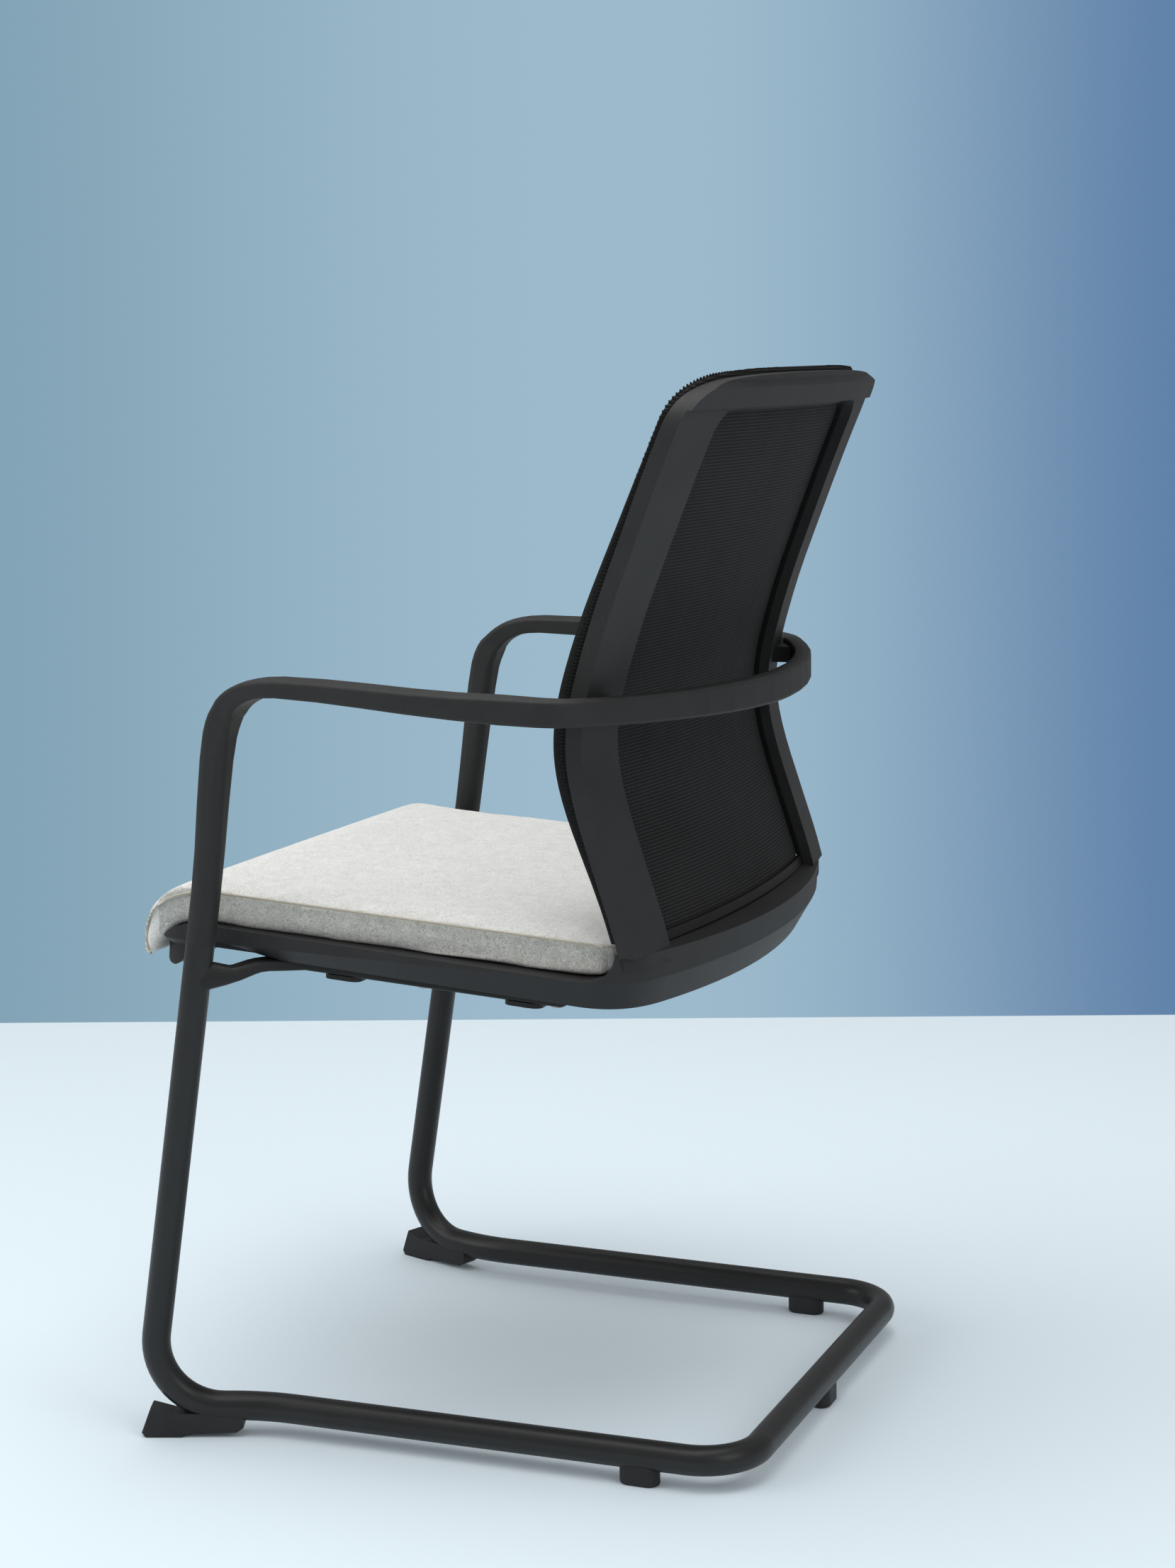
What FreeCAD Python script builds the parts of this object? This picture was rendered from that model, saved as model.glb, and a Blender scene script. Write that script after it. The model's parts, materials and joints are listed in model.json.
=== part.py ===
import FreeCAD, Part
import math
import os
from FreeCAD import Matrix, Placement, Rotation, Vector

os.makedirs("parts", exist_ok=True)

# The front of the chair faces -Y, the floor is z = 0, and x = 0 is the plane of symmetry.
# All sizes are in millimetres and all angles in degrees.

# General clearances
cloth_gap = 0.3
hole_gap = 0.2

# Base tube: legs, runners and rear cross tube
tube_dia = 25.0
tube_wall = 2.0
floor_height = 12.6
leg_top = Vector(280.0, -199.9, 438.0)
leg_foot_x = 276.0
leg_foot_y = -260.7
runner_front_x = 240.7
runner_front_y = -165.4
runner_rear_x = 233.0
rear_tube_y = 269.3
front_bend_radius = 58.0
inward_bend_radius = 170.0
rear_bend_radius = 50.0
tube_axis_z = floor_height + tube_dia / 2

# Glides and pads
glide_length = 84.0
glide_width = 21.0
glide_front_drop = 26.0
glide_heel_height = 3.4
pad_length = 35.0
pad_width = 19.0
pad_y = 181.0
rivet_dia = 4.0
rivet_head_dia = 8.0
rivet_head_height = 1.6
rivet_recess = 2.0

# Arm loop
post_dia = 25.0
arm_front_width = 30.0
arm_front_height = 17.5
band_width = 16.0
band_height = 26.0
arm_crown = 2.2
section_turn = 6.0
section_reach = 40.0
spigot_depth = 42.0
spigot_gap = 0.1
pin_dia = 4.0
loop_screw_xs = (228.0, 241.0)
loop_screw_z = 647.0
loop_screw_length = 32.0
block_x_from = 220.0
block_x_to = 249.0
block_height = 15.0

# Seat plane: the top of the shell's side rail, tilted down to the rear
rail_top_z = 433.5
seat_tilt = 3.57

# Seat shell
shell_front_y = -265.0
shell_front_half = 248.0
shell_side_half = 262.0
shell_side_end_y = 163.0
shell_rear_y = 226.0
shell_rear_radius = 850.0
shell_corner_x = 236.0
shell_low_rounding = 44.0
shell_front_corner = 28.0
shell_depth = 23.5
shell_bevel = 12.0
bar_top = 26.0
lip_drop = 42.0
pocket_half = 225.0
pocket_front_y = -212.0
pocket_rear_y = 198.0
floor_thickness = 4.5
cheek_inner_half = 227.0

# Back frame, measured on the plane of the uprights' middle
upright_middle = 230.0
back_radius = 1400.0
frame_depth = 13.5
upright_inner = 203.0
upright_outer = 262.0
opening_top_half = 196.0
opening_top_z = 893.0
opening_corner = 22.0
back_top_z = 921.5
frame_base_z = 436.0
top_bar_proud = 5.0

# Knit and the ring that carries it
knit_edge = 6.0
knit_lumbar = 13.0
lumbar_z = 625.0
knit_inset = 5.0
knit_top_rise = 3.5
ring_width = 8.0
ring_depth = 4.0
ring_lip = 3.0
strip_inset = 9.0
strip_width = 3.0
strip_depth = 2.5

# Seat cushion, in the seat plane's own frame
seam_height = 28.5
cushion_rise = 8.0
cushion_front_y = -282.5
cushion_half = 244.0
cushion_rear_y = 182.0
cushion_rear_bow = 12.0
cushion_corner = 22.0
felt = 2.5
welt_dia = 2.6
welt_gap = 0.2
board_thickness = 9.0
board_screw_x = 120.0
board_screw_ys = (-130.0, 100.0)
nut_flange_dia = 17.0
nut_flange = 1.4
nut_barrel_dia = 7.4

# Under-seat carrier
carrier_x = 213.0
carrier_width = 26.0
carrier_height = 9.5
carrier_rear_y = 118.0
carrier_front_y = -128.0
flare_height = 28.0
flare_width = 25.0
carrier_leg_z = 409.0
cross_bar_width = 34.0
cross_bar_height = 4.0
cross_bar_ys = (-92.0, 76.0)
shell_screw_ys = (-20.0, 103.0)

# Fasteners
screw_dia = 5.0
screw_head_dia = 9.5
screw_head_height = 3.0


def side_face(points):
    """Plane face from points (y, z) joined by straight lines."""
    corners = [Vector(0, y, z) for y, z in points]
    return Part.Face(Part.makePolygon(corners + corners[:1]))


def spline(points):
    curve = Part.BSplineCurve()
    curve.interpolate(points)
    return curve.toShape()


def bezier(points):
    curve = Part.BezierCurve()
    curve.setPoles(points)
    return curve.toShape()


def line(a, b):
    return Part.makeLine(a, b)


def face_of(edges):
    return Part.Face(Part.Wire(edges))


def across(face, half):
    """Solid made by carrying a side-view face across the whole width."""
    moved = face.copy()
    moved.translate(Vector(-half, 0, 0))
    return moved.extrude(Vector(2 * half, 0, 0))


def between(face, x_from, x_to):
    moved = face.copy()
    moved.translate(Vector(x_from, 0, 0))
    return moved.extrude(Vector(x_to - x_from, 0, 0))


def mirrored(shape):
    return shape.mirror(Vector(0, 0, 0), Vector(1, 0, 0))


def both_sides(shape):
    return Part.makeCompound([shape, mirrored(shape)])


def seat_place(shape):
    """Moves a shape from the seat plane's own frame to the chair's frame."""
    placed = shape.copy()
    turn = Rotation(Vector(1, 0, 0), -seat_tilt)
    placed.Placement = Placement(Vector(0, 0, rail_top_z), turn).multiply(placed.Placement)
    return placed


def seat_point(point):
    turn = Rotation(Vector(1, 0, 0), -seat_tilt)
    return turn.multVec(point) + Vector(0, 0, rail_top_z)


def rod(start, end, diameter):
    direction = end - start
    return Part.makeCylinder(diameter / 2, direction.Length, start, direction)


def path_of(points, radii):
    """Wire of straight runs joined by tangent arcs."""
    edges = []
    start = points[0]
    for before, corner, after, radius in zip(points, points[1:], points[2:], radii):
        back = (before - corner).normalize()
        ahead = (after - corner).normalize()
        half_angle = back.getAngle(ahead) / 2
        reach = radius / math.tan(half_angle)
        inward = (back + ahead).normalize()
        first = corner + back * reach
        last = corner + ahead * reach
        middle = corner + inward * (radius / math.sin(half_angle) - radius)
        edges.append(line(start, first))
        edges.append(Part.Arc(first, middle, last).toShape())
        start = last
    edges.append(line(start, points[-1]))
    return Part.Wire(edges)


def swept_round(path, diameter):
    first = path.Edges[0]
    start = first.valueAt(first.FirstParameter)
    direction = first.tangentAt(first.FirstParameter)
    ring = Part.Wire(Part.makeCircle(diameter / 2, start, direction))
    return path.makePipeShell([ring], True, False)


# Base tube

def leg_direction():
    foot = Vector(leg_foot_x, leg_foot_y, tube_axis_z)
    return (leg_top - foot).normalize()


def base_path(extra=0.0):
    top = leg_top + leg_direction() * extra
    side = [
        top,
        Vector(leg_foot_x, leg_foot_y, tube_axis_z),
        Vector(runner_front_x, runner_front_y, tube_axis_z),
        Vector(runner_rear_x, rear_tube_y, tube_axis_z),
    ]
    other = [Vector(-p.x, p.y, p.z) for p in reversed(side)]
    radii = [front_bend_radius, inward_bend_radius, rear_bend_radius]
    return path_of(side + other, radii + radii[::-1])


def runner_x(y):
    share = (y - runner_front_y) / (rear_tube_y - runner_front_y)
    return runner_front_x + share * (runner_rear_x - runner_front_x)


def glide_direction():
    ahead = Vector(runner_front_x - leg_foot_x, runner_front_y - leg_foot_y, 0)
    return ahead.normalize()


def rivet_places():
    """Foot of each rivet: two per front glide, one per pad."""
    foot = Vector(leg_foot_x, leg_foot_y, 0)
    front = [foot + glide_direction() * reach for reach in (57.0, 69.0)]
    rear = [Vector(runner_x(pad_y), pad_y, 0)]
    right = front + rear
    left = [Vector(-p.x, p.y, 0) for p in right]
    return right + left + [Vector(0, rear_tube_y, 0)]


def make_base_tube(outer):
    bore = swept_round(base_path(1.0), tube_dia - 2 * tube_wall)
    tube = outer.cut(bore)
    for place in rivet_places():
        low = place + Vector(0, 0, floor_height - 2)
        tube = tube.cut(rod(low, low + Vector(0, 0, tube_dia / 2), rivet_dia + hole_gap))
    for sign in (1, -1):
        tube = tube.cut(pin_rod(sign, pin_dia + hole_gap, "leg"))
    return tube


# Glides and pads

def make_front_glide(outer):
    foot = Vector(leg_foot_x, leg_foot_y, 0)
    top = floor_height + tube_dia / 3
    face = side_face([
        (-2.0, 0), (30.0, 0), (36.0, glide_heel_height), (glide_length - 6, glide_heel_height + 1),
        (glide_length, glide_heel_height + 5), (glide_length, top), (22.0, top), (3.0, glide_front_drop),
        (-5.0, 4.0),
    ])
    block = between(face, -glide_width / 2, glide_width / 2)
    upright_edges = [e for e in block.Edges if e.BoundBox.XLength < 1e-6 and e.BoundBox.ZLength > 1]
    block = block.makeFillet(2.0, [e for e in upright_edges if e.BoundBox.YMax < 5])
    heading = math.degrees(math.atan2(-glide_direction().x, glide_direction().y))
    block.Placement = Placement(foot, Rotation(Vector(0, 0, 1), heading))
    return block.cut(outer)


def make_pad(outer, centre, along):
    flat = along.normalize()
    heading = math.degrees(math.atan2(flat.y, flat.x))
    straight = pad_length - pad_width
    body = Part.makeBox(straight, pad_width, floor_height + 6, Vector(-straight / 2, -pad_width / 2, 0))
    for end in (-straight / 2, straight / 2):
        body = body.fuse(Part.makeCylinder(pad_width / 2, floor_height + 6, Vector(end, 0, 0)))
    body = body.removeSplitter()
    rim = [e for e in body.Edges if e.BoundBox.ZMax < 0.1]
    body = body.makeFillet(2.5, rim)
    body.Placement = Placement(centre, Rotation(Vector(0, 0, 1), heading))
    return body.cut(outer)


def cut_rivets(solid):
    for place in rivet_places():
        if place.x < solid.BoundBox.XMin or place.x > solid.BoundBox.XMax:
            continue
        if place.y < solid.BoundBox.YMin or place.y > solid.BoundBox.YMax:
            continue
        solid = solid.cut(rod(place, place + Vector(0, 0, 30), rivet_dia + hole_gap))
        recess = rod(place, place + Vector(0, 0, rivet_seat(place)), rivet_head_dia + 2 * hole_gap)
        solid = solid.cut(recess)
    return solid


def rivet_seat(place):
    """Height of the face that the rivet's head bears on."""
    front = place.y < runner_front_y
    return (glide_heel_height if front else 0.0) + rivet_head_height + rivet_recess


def make_rivets():
    rivets = []
    for place in rivet_places():
        seat = rivet_seat(place)
        head = rod(place + Vector(0, 0, seat - rivet_head_height), place + Vector(0, 0, seat), rivet_head_dia)
        inside = floor_height + tube_wall
        shank = rod(place + Vector(0, 0, seat), place + Vector(0, 0, inside + 2.4), rivet_dia)
        grip = rod(place + Vector(0, 0, inside + 1.0), place + Vector(0, 0, inside + 3.4), rivet_dia + 2.4)
        rivets.append(head.fuse(shank).fuse(grip))
    return Part.makeCompound(rivets)


# Arm loop

def section_frame(centre, tangent):
    """Outward and upward directions of a section square to the loop's line."""
    flat = Vector(tangent.x, tangent.y, 0)
    if flat.Length < 0.55:
        flat = Vector(0, 1 if centre.x > 0 else -1, 0)
    up = flat.cross(Vector(0, 0, 1)).cross(tangent).normalize()
    outward = tangent.cross(up).normalize()
    return outward, up


def rounded_section(centre, tangent, width, height, radius, crown):
    """Closed rounded rectangle whose upper side is an arc with the given crown."""
    outward, up = section_frame(centre, tangent)
    w, h = width / 2, height / 2
    r = min(radius, w - 0.3, h - 0.3)
    k = r * (1 - math.sqrt(0.5))

    def at(across_part, up_part):
        return centre + outward * across_part + up * up_part

    def arc(*points):
        return Part.Arc(*[at(*p) for p in points]).toShape()

    return Part.Wire([
        line(at(w, -h + r), at(w, h - r)),
        arc((w, h - r), (w - k, h - k), (w - r, h)),
        arc((w - r, h), (0, h + max(crown, 0.05)), (-w + r, h)),
        arc((-w + r, h), (-w + k, h - k), (-w, h - r)),
        line(at(-w, h - r), at(-w, -h + r)),
        arc((-w, -h + r), (-w + k, -h + k), (-w + r, -h)),
        line(at(-w + r, -h), at(w - r, -h)),
        arc((w - r, -h), (w - k, -h + k), (w, -h + r)),
    ])


def loop_stations():
    """Centre, width, height, corner radius and crown, from the right leg to the rear middle."""
    w = arm_front_width
    h = arm_front_height
    post = post_dia
    return [
        (leg_top, post, post, 12.5, 0.0),
        (Vector(280.6, -190.6, 505.0), post - 0.4, post - 0.4, 11.0, 0.0),
        (Vector(284.2, -179.0, 600.0), post + 0.8, post + 0.6, 8.5, 0.0),
        (Vector(285.0, -171.0, 632.0), w - 2.0, h + 6.0, 5.5, 0.4),
        (Vector(286.6, -158.0, 649.5), w, h + 1.0, 4.0, 0.8),
        (Vector(289.4, -133.0, 660.2), w + 1.0, h - 2.5, 3.4, 1.6),
        (Vector(291.5, -104.0, 661.6), w, h - 2.5, 3.2, arm_crown),
        (Vector(296.6, -30.0, 658.0), w, h - 0.5, 3.2, arm_crown),
        (Vector(298.0, 35.0, 653.4), w - 3.0, h + 1.5, 3.2, arm_crown),
        (Vector(295.5, 92.0, 650.8), w - 6.0, h + 4.5, 3.2, arm_crown),
        (Vector(288.0, 140.0, 649.4), band_width + 2.0, h + 4.5, 3.2, arm_crown - 0.8),
        (Vector(272.5, 153.8, 648.9), band_width + 0.8, band_height - 3.5, 3.2, 0.8),
        (Vector(247.5, 167.2, 648.0), band_width, band_height - 3.0, 3.2, 0.6),
        (Vector(190.0, 191.9, 646.4), band_width, band_height - 2.0, 3.2, 0.6),
        (Vector(100.0, 216.6, 644.6), band_width, band_height - 0.5, 3.2, 0.6),
        (Vector(0.0, 225.5, 643.6), band_width, band_height, 3.2, 0.6),
    ]


def loop_line():
    """Centre line of the whole loop, with its stations."""
    right = loop_stations()
    left = [(Vector(-s[0].x, s[0].y, s[0].z),) + s[1:] for s in reversed(right[:-1])]
    stations = right + left
    start = leg_direction()
    curve = Part.BSplineCurve()
    curve.interpolate(Points=[s[0] for s in stations], InitialTangent=start,
                      FinalTangent=Vector(start.x, -start.y, -start.z))
    return curve, stations


def section_places(curve, first, last, turn, reach):
    """Places along a curve, one for each turn or reach, whichever comes first."""
    places = [first]
    fine = 1600
    previous = curve.tangent(first)[0]
    point = curve.value(first)
    for step in range(1, fine):
        at = first + (last - first) * step / fine
        tangent = curve.tangent(at)[0]
        if math.degrees(previous.getAngle(tangent)) > turn or point.distanceToPoint(curve.value(at)) > reach:
            places.append(at)
            previous = tangent
            point = curve.value(at)
    return places + [last]


def ruled_sweep(curve, stations, first, last, turn, reach):
    """Solid through rounded sections whose sizes run evenly between the stations."""
    marks = [curve.parameter(s[0]) for s in stations]
    sections = []
    for place in section_places(curve, first, last, turn, reach):
        index = max(i for i in range(len(marks) - 1) if marks[i] <= place + 1e-9)
        share = (place - marks[index]) / (marks[index + 1] - marks[index])
        sizes = [a + (b - a) * share for a, b in zip(stations[index][1:], stations[index + 1][1:])]
        tangent = curve.tangent(place)[0].normalize()
        sections.append(rounded_section(curve.value(place), tangent, *sizes))
    return Part.makeLoft(sections, True, True)


def make_arm_loop():
    curve, stations = loop_line()
    first = curve.parameter(stations[0][0])
    middle = curve.parameter(stations[len(stations) // 2][0])
    half = ruled_sweep(curve, stations, first, middle, section_turn, section_reach)
    loop = half.fuse(mirrored(half)).removeSplitter()
    bore = tube_dia - 2 * tube_wall
    for sign in (1, -1):
        loop = loop.cut(spigot_rod(sign, bore, 0.5))
        loop = loop.cut(pin_rod(sign, pin_dia + hole_gap, "post"))
    for seat in loop_screw_seats():
        loop = loop.cut(screw_hole(seat, Vector(0, 1, 0), loop_screw_length + 0.5))
    return loop


def make_post_spigots():
    spigots = []
    for sign in (1, -1):
        spigot = spigot_rod(sign, tube_dia - 2 * tube_wall - 2 * spigot_gap)
        for part in ("leg", "post"):
            spigot = spigot.cut(pin_rod(sign, pin_dia + hole_gap, part))
        spigots.append(spigot)
    return Part.makeCompound(spigots)


def loop_screw_seats():
    """Where the heads of the loop's screws bear, in the fronts of the uprights."""
    seats = []
    for x in loop_screw_xs:
        point, normal = back_point(x, loop_screw_z, frame_depth - screw_head_height - 0.5)
        seats.append(point)
        seats.append(Vector(-point.x, point.y, point.z))
    return seats


def make_loop_blocks(frame, loop):
    """Spacers between the uprights and the loop, shaped to both."""
    blocks = []
    for sign in (1, -1):
        low_x = min(sign * block_x_from, sign * block_x_to)
        block = Part.makeBox(block_x_to - block_x_from, 28.0, block_height,
                             Vector(low_x, 144.0, loop_screw_z - block_height / 2))
        block = block.cut(frame).cut(loop)
        for seat in loop_screw_seats():
            block = block.cut(screw_hole(seat, Vector(0, 1, 0), loop_screw_length))
        blocks.append(largest(block))
    return Part.makeCompound(blocks)


def make_loop_screws():
    screws = [make_screw(seat, Vector(0, 1, 0), loop_screw_length) for seat in loop_screw_seats()]
    return Part.makeCompound(screws)


def largest(shape):
    return max(shape.Solids, key=lambda solid: solid.Volume)


def post_axis(sign):
    top = Vector(sign * leg_top.x, leg_top.y, leg_top.z)
    direction = leg_direction()
    return top, Vector(sign * direction.x, direction.y, direction.z)


def spigot_rod(sign, diameter, extra=0.0):
    top, direction = post_axis(sign)
    reach = spigot_depth + extra
    return rod(top - direction * reach, top + direction * reach, diameter)


def pin_rod(sign, diameter, part):
    """Cross pin through the spigot, driven from the inner side of the leg or post."""
    top, direction = post_axis(sign)
    height = -0.6 * spigot_depth if part == "leg" else 0.6 * spigot_depth
    centre = top + direction * height
    inner = centre - Vector(sign * (tube_dia / 2 + 1), 0, 0)
    return rod(inner, centre + Vector(sign * 6.0, 0, 0), diameter)


def make_spigot_pins():
    pins = []
    for sign in (1, -1):
        for part in ("leg", "post"):
            top, direction = post_axis(sign)
            height = -0.6 * spigot_depth if part == "leg" else 0.6 * spigot_depth
            centre = top + direction * height
            inner = centre - Vector(sign * (tube_dia / 2 - 0.6), 0, 0)
            pins.append(rod(inner, centre + Vector(sign * 5.5, 0, 0), pin_dia))
    return Part.makeCompound(pins)


# Seat shell, in the seat plane's own frame

def plan_outline(side_inset, rear_inset, z, roundness=0.0):
    """Closed outline of the shell seen from above, with rounder rear corners if asked."""
    front = shell_front_y
    half_front = shell_front_half - side_inset
    half_side = shell_side_half - side_inset
    corner = shell_front_corner
    rear = shell_rear_y - rear_inset
    radius = shell_rear_radius
    x_corner = shell_corner_x - roundness
    y_corner = rear - radius + math.sqrt(radius ** 2 - x_corner ** 2)
    slope = Vector(-(y_corner - rear + radius), x_corner, 0).normalize()
    pull = 0.56 * (half_side - x_corner)
    start = Vector(half_front, front + corner, z)
    side_end = Vector(half_side, shell_side_end_y - 0.6 * roundness, z)
    rear_end = Vector(x_corner, y_corner, z)
    knee = corner * (1 - math.sqrt(0.5))
    right = [
        Part.Arc(Vector(half_front - corner, front, z), Vector(half_front - knee, front + knee, z), start).toShape(),
        line(start, side_end),
        bezier([side_end, side_end + Vector(0, pull, 0), rear_end - slope * pull, rear_end]),
    ]
    edges = right + [Part.Arc(rear_end, Vector(0, rear, z), Vector(-rear_end.x, rear_end.y, z)).toShape()]
    edges += [mirrored(e) for e in reversed(right)]
    edges.append(line(Vector(-(half_front - corner), front, z), Vector(half_front - corner, front, z)))
    return Part.Wire(Part.__sortEdges__(edges))


def sheared(wire, slope, lift):
    """Tilts an outline to the plane z = slope * y + lift."""
    matrix = Matrix()
    matrix.A32 = slope
    matrix.A34 = lift
    return wire.transformGeometry(matrix)


def rail_top_edges(gap=0.0):
    """Side-view curve of the rail's top, from the front lip to the inner corner."""
    front = Vector(0, shell_front_y - gap, -33.0)
    flat = Vector(0, -214.0, gap)
    bend = bezier([front, front + Vector(0, 0, 21), flat + Vector(0, -26, 0), flat])
    return [bend], flat


def corner_points():
    """Side view of the inner corner between the side rail and the upright."""
    return Vector(0, 134.0, 0), Vector(0, 171.0, 33.0)


def tub_top_cutter():
    bend, flat = rail_top_edges()
    corner, wall = corner_points()
    high = 80.0
    far = shell_front_y - 40
    edges = bend + [
        line(flat, corner),
        bezier([corner, corner + Vector(0, 24, 0), wall - Vector(0, 0, 24), wall]),
        line(wall, Vector(0, wall.y, high)),
        line(Vector(0, wall.y, high), Vector(0, far, high)),
        line(Vector(0, far, high), Vector(0, far, -33.0)),
        line(Vector(0, far, -33.0), Vector(0, shell_front_y, -33.0)),
    ]
    return across(face_of(edges), 320)


def underside_cutter(cheek):
    """Cuts the shell's underside, with the arch over the carrier at the cheeks."""
    tip = Vector(0, -250.0, -lip_drop)
    front = Vector(0, shell_front_y, -33.0)
    nose = bezier([front, front + Vector(0, 0.5, -6), tip + Vector(0, -7, 0), tip])
    low = -90.0
    if cheek:
        arch_start = Vector(0, -238.0, -37.5)
        crown = Vector(0, -199.0, -12.5)
        arch_end = Vector(0, -144.0, -shell_depth)
        inner = [
            bezier([tip, tip + Vector(0, 5, 0), arch_start + Vector(0, -3, -3), arch_start]),
            bezier([arch_start, arch_start + Vector(0, 14, 14), crown + Vector(0, -14, 0), crown]),
            bezier([crown, crown + Vector(0, 16, 0), arch_end + Vector(0, -20, 2), arch_end]),
        ]
        last = arch_end
    else:
        last = Vector(0, -219.0, -shell_depth)
        inner = [bezier([tip, tip + Vector(0, 9, 0), last + Vector(0, -14, 0), last])]
    far = 260.0
    edges = [nose] + inner + [
        line(last, Vector(0, far, -shell_depth)),
        line(Vector(0, far, -shell_depth), Vector(0, far, low)),
        line(Vector(0, far, low), Vector(0, -300, low)),
        line(Vector(0, -300, low), Vector(0, -300, -33.0)),
        line(Vector(0, -300, -33.0), front),
    ]
    face = face_of(edges)
    if not cheek:
        return across(face, 320)
    return both_sides(between(face, cheek_inner_half, 320))


def pocket():
    """Hollow of the seat shell, open at the top."""
    front = pocket_front_y
    half = pocket_half
    rear = pocket_rear_y
    rear_side = rear - back_radius + math.sqrt(back_radius ** 2 - half ** 2)
    z = -shell_depth + floor_thickness
    edges = [
        line(Vector(-half, front, z), Vector(half, front, z)),
        line(Vector(half, front, z), Vector(half, rear_side, z)),
        Part.Arc(Vector(half, rear_side, z), Vector(0, rear, z), Vector(-half, rear_side, z)).toShape(),
        line(Vector(-half, rear_side, z), Vector(-half, front, z)),
    ]
    solid = face_of(edges).extrude(Vector(0, 0, 90))
    uprights = [e for e in solid.Edges if e.BoundBox.ZLength > 80]
    return solid.makeFillet(14, uprights)


def make_tub():
    top = plan_outline(0, 0, bar_top)
    crease = sheared(plan_outline(0, 0, 0, 0.5 * shell_low_rounding), 0.043, -5.5)
    bottom = plan_outline(shell_bevel, shell_bevel + 2, -shell_depth, shell_low_rounding)
    below = plan_outline(shell_bevel, shell_bevel + 2, -lip_drop - 4, shell_low_rounding)
    upper = Part.makeLoft([top, crease], True, True)
    middle = Part.makeLoft([crease, bottom], True, True)
    lower = Part.makeLoft([bottom, below], True, True)
    tub = upper.fuse(middle).fuse(lower)
    tub = tub.cut(tub_top_cutter())
    tub = tub.cut(underside_cutter(False))
    tub = tub.cut(underside_cutter(True))
    tub = tub.cut(pocket())
    return seat_place(tub)


def foot_trim():
    """Region above the shell's own outline, and the height up to which it trims the uprights."""
    shift = Vector(0, bar_top * math.sin(math.radians(seat_tilt)), 0)
    rim_z = seat_point(Vector(0, pocket_rear_y, bar_top)).z
    outline = plan_outline(0, 0, frame_base_z - 3)
    outline.translate(shift)
    return Part.Face(outline).extrude(Vector(0, 0, 60)), rim_z


# Back frame

def middle_drop():
    """How far the uprights' middle lies ahead of the back's middle plane."""
    return back_radius - math.sqrt(back_radius ** 2 - upright_middle ** 2)


def rear_points():
    """Side view of the uprights' rear face."""
    return [
        (198.0, 432.0), (178.5, 500.0), (161.5, 552.0), (150.4, 600.0), (149.6, 630.0), (156.6, 668.0),
        (171.8, 720.0), (194.5, 782.0), (217.5, 842.0), (243.5, 905.0), (252.5, 927.0),
    ]


def rear_curve():
    """Side view of the rear face on the middle plane."""
    base = Part.BSplineCurve()
    drop = middle_drop()
    base.interpolate([Vector(0, y + drop, z) for y, z in rear_points()])
    return base


def rear_place(z):
    """Point and forward direction of the rear face on the middle plane at a height."""
    base = rear_curve()
    low, high = base.FirstParameter, base.LastParameter
    for step in range(40):
        at = (low + high) / 2
        if base.value(at).z < z:
            low = at
        else:
            high = at
    along = base.tangent(at)[0]
    return base.value(at), Vector(0, -along.z, along.y).normalize()


def back_point(x, z, ahead):
    """Point of the back seen at x and z from the front, ahead of the rear face, and the way forward."""
    rear, forward = rear_place(z)
    middle = rear + forward * ahead
    axis = Vector(0, band_axis_y(), 0)
    turn = Rotation(Vector(0, 0, 1), -math.degrees(math.asin(x / (middle.y - axis.y))))
    return axis + turn.multVec(middle - axis), turn.multVec(forward)


def back_curve(offset_at):
    """Curve on the middle plane, moved to the front of the rear face by offset_at(z)."""
    base = rear_curve()
    first, last = base.FirstParameter, base.LastParameter
    points = []
    count = 14
    for step in range(count + 1):
        at = first + (last - first) * step / count
        point = base.value(at)
        along = base.tangent(at)[0]
        ahead = Vector(0, -along.z, along.y).normalize()
        points.append(point + ahead * offset_at(point.z))
    return spline(points)


def turned_band(near_offset, far_offset):
    """Curved slab between two offsets ahead of the uprights' rear face."""
    rear = back_curve(near_offset)
    front = back_curve(far_offset)
    ends = [e.valueAt(p) for e in (rear, front) for p in (e.FirstParameter, e.LastParameter)]
    face = face_of([rear, line(ends[1], ends[3]), front, line(ends[2], ends[0])])
    axis = Vector(0, band_axis_y(), 0)
    half_turn = 12.0
    face.rotate(axis, Vector(0, 0, 1), -half_turn)
    return face.revolve(axis, Vector(0, 0, 1), 2 * half_turn)


def band_axis_y():
    return rear_points()[4][0] + middle_drop() - back_radius


def front_outline(side_inset, base_z, top_rise):
    """Front view of the back: straight sides, flattened corners, a slightly crowned top."""
    half = upright_outer - side_inset
    top = back_top_z + top_rise
    shoulder = top - 42.0
    side = [
        line(Vector(half, 0, base_z), Vector(half, 0, shoulder)),
        bezier([Vector(half, 0, shoulder), Vector(half, 0, shoulder + 24), Vector(half - 26, 0, top - 7),
                Vector(half - 78, 0, top - 3.4)]),
        bezier([Vector(half - 78, 0, top - 3.4), Vector(half - 140, 0, top), Vector(60, 0, top), Vector(0, 0, top)]),
    ]
    edges = side + [mirrored(e) for e in reversed(side)] + [line(Vector(-half, 0, base_z), Vector(half, 0, base_z))]
    return Part.Face(Part.Wire(Part.__sortEdges__(edges)))


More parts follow.
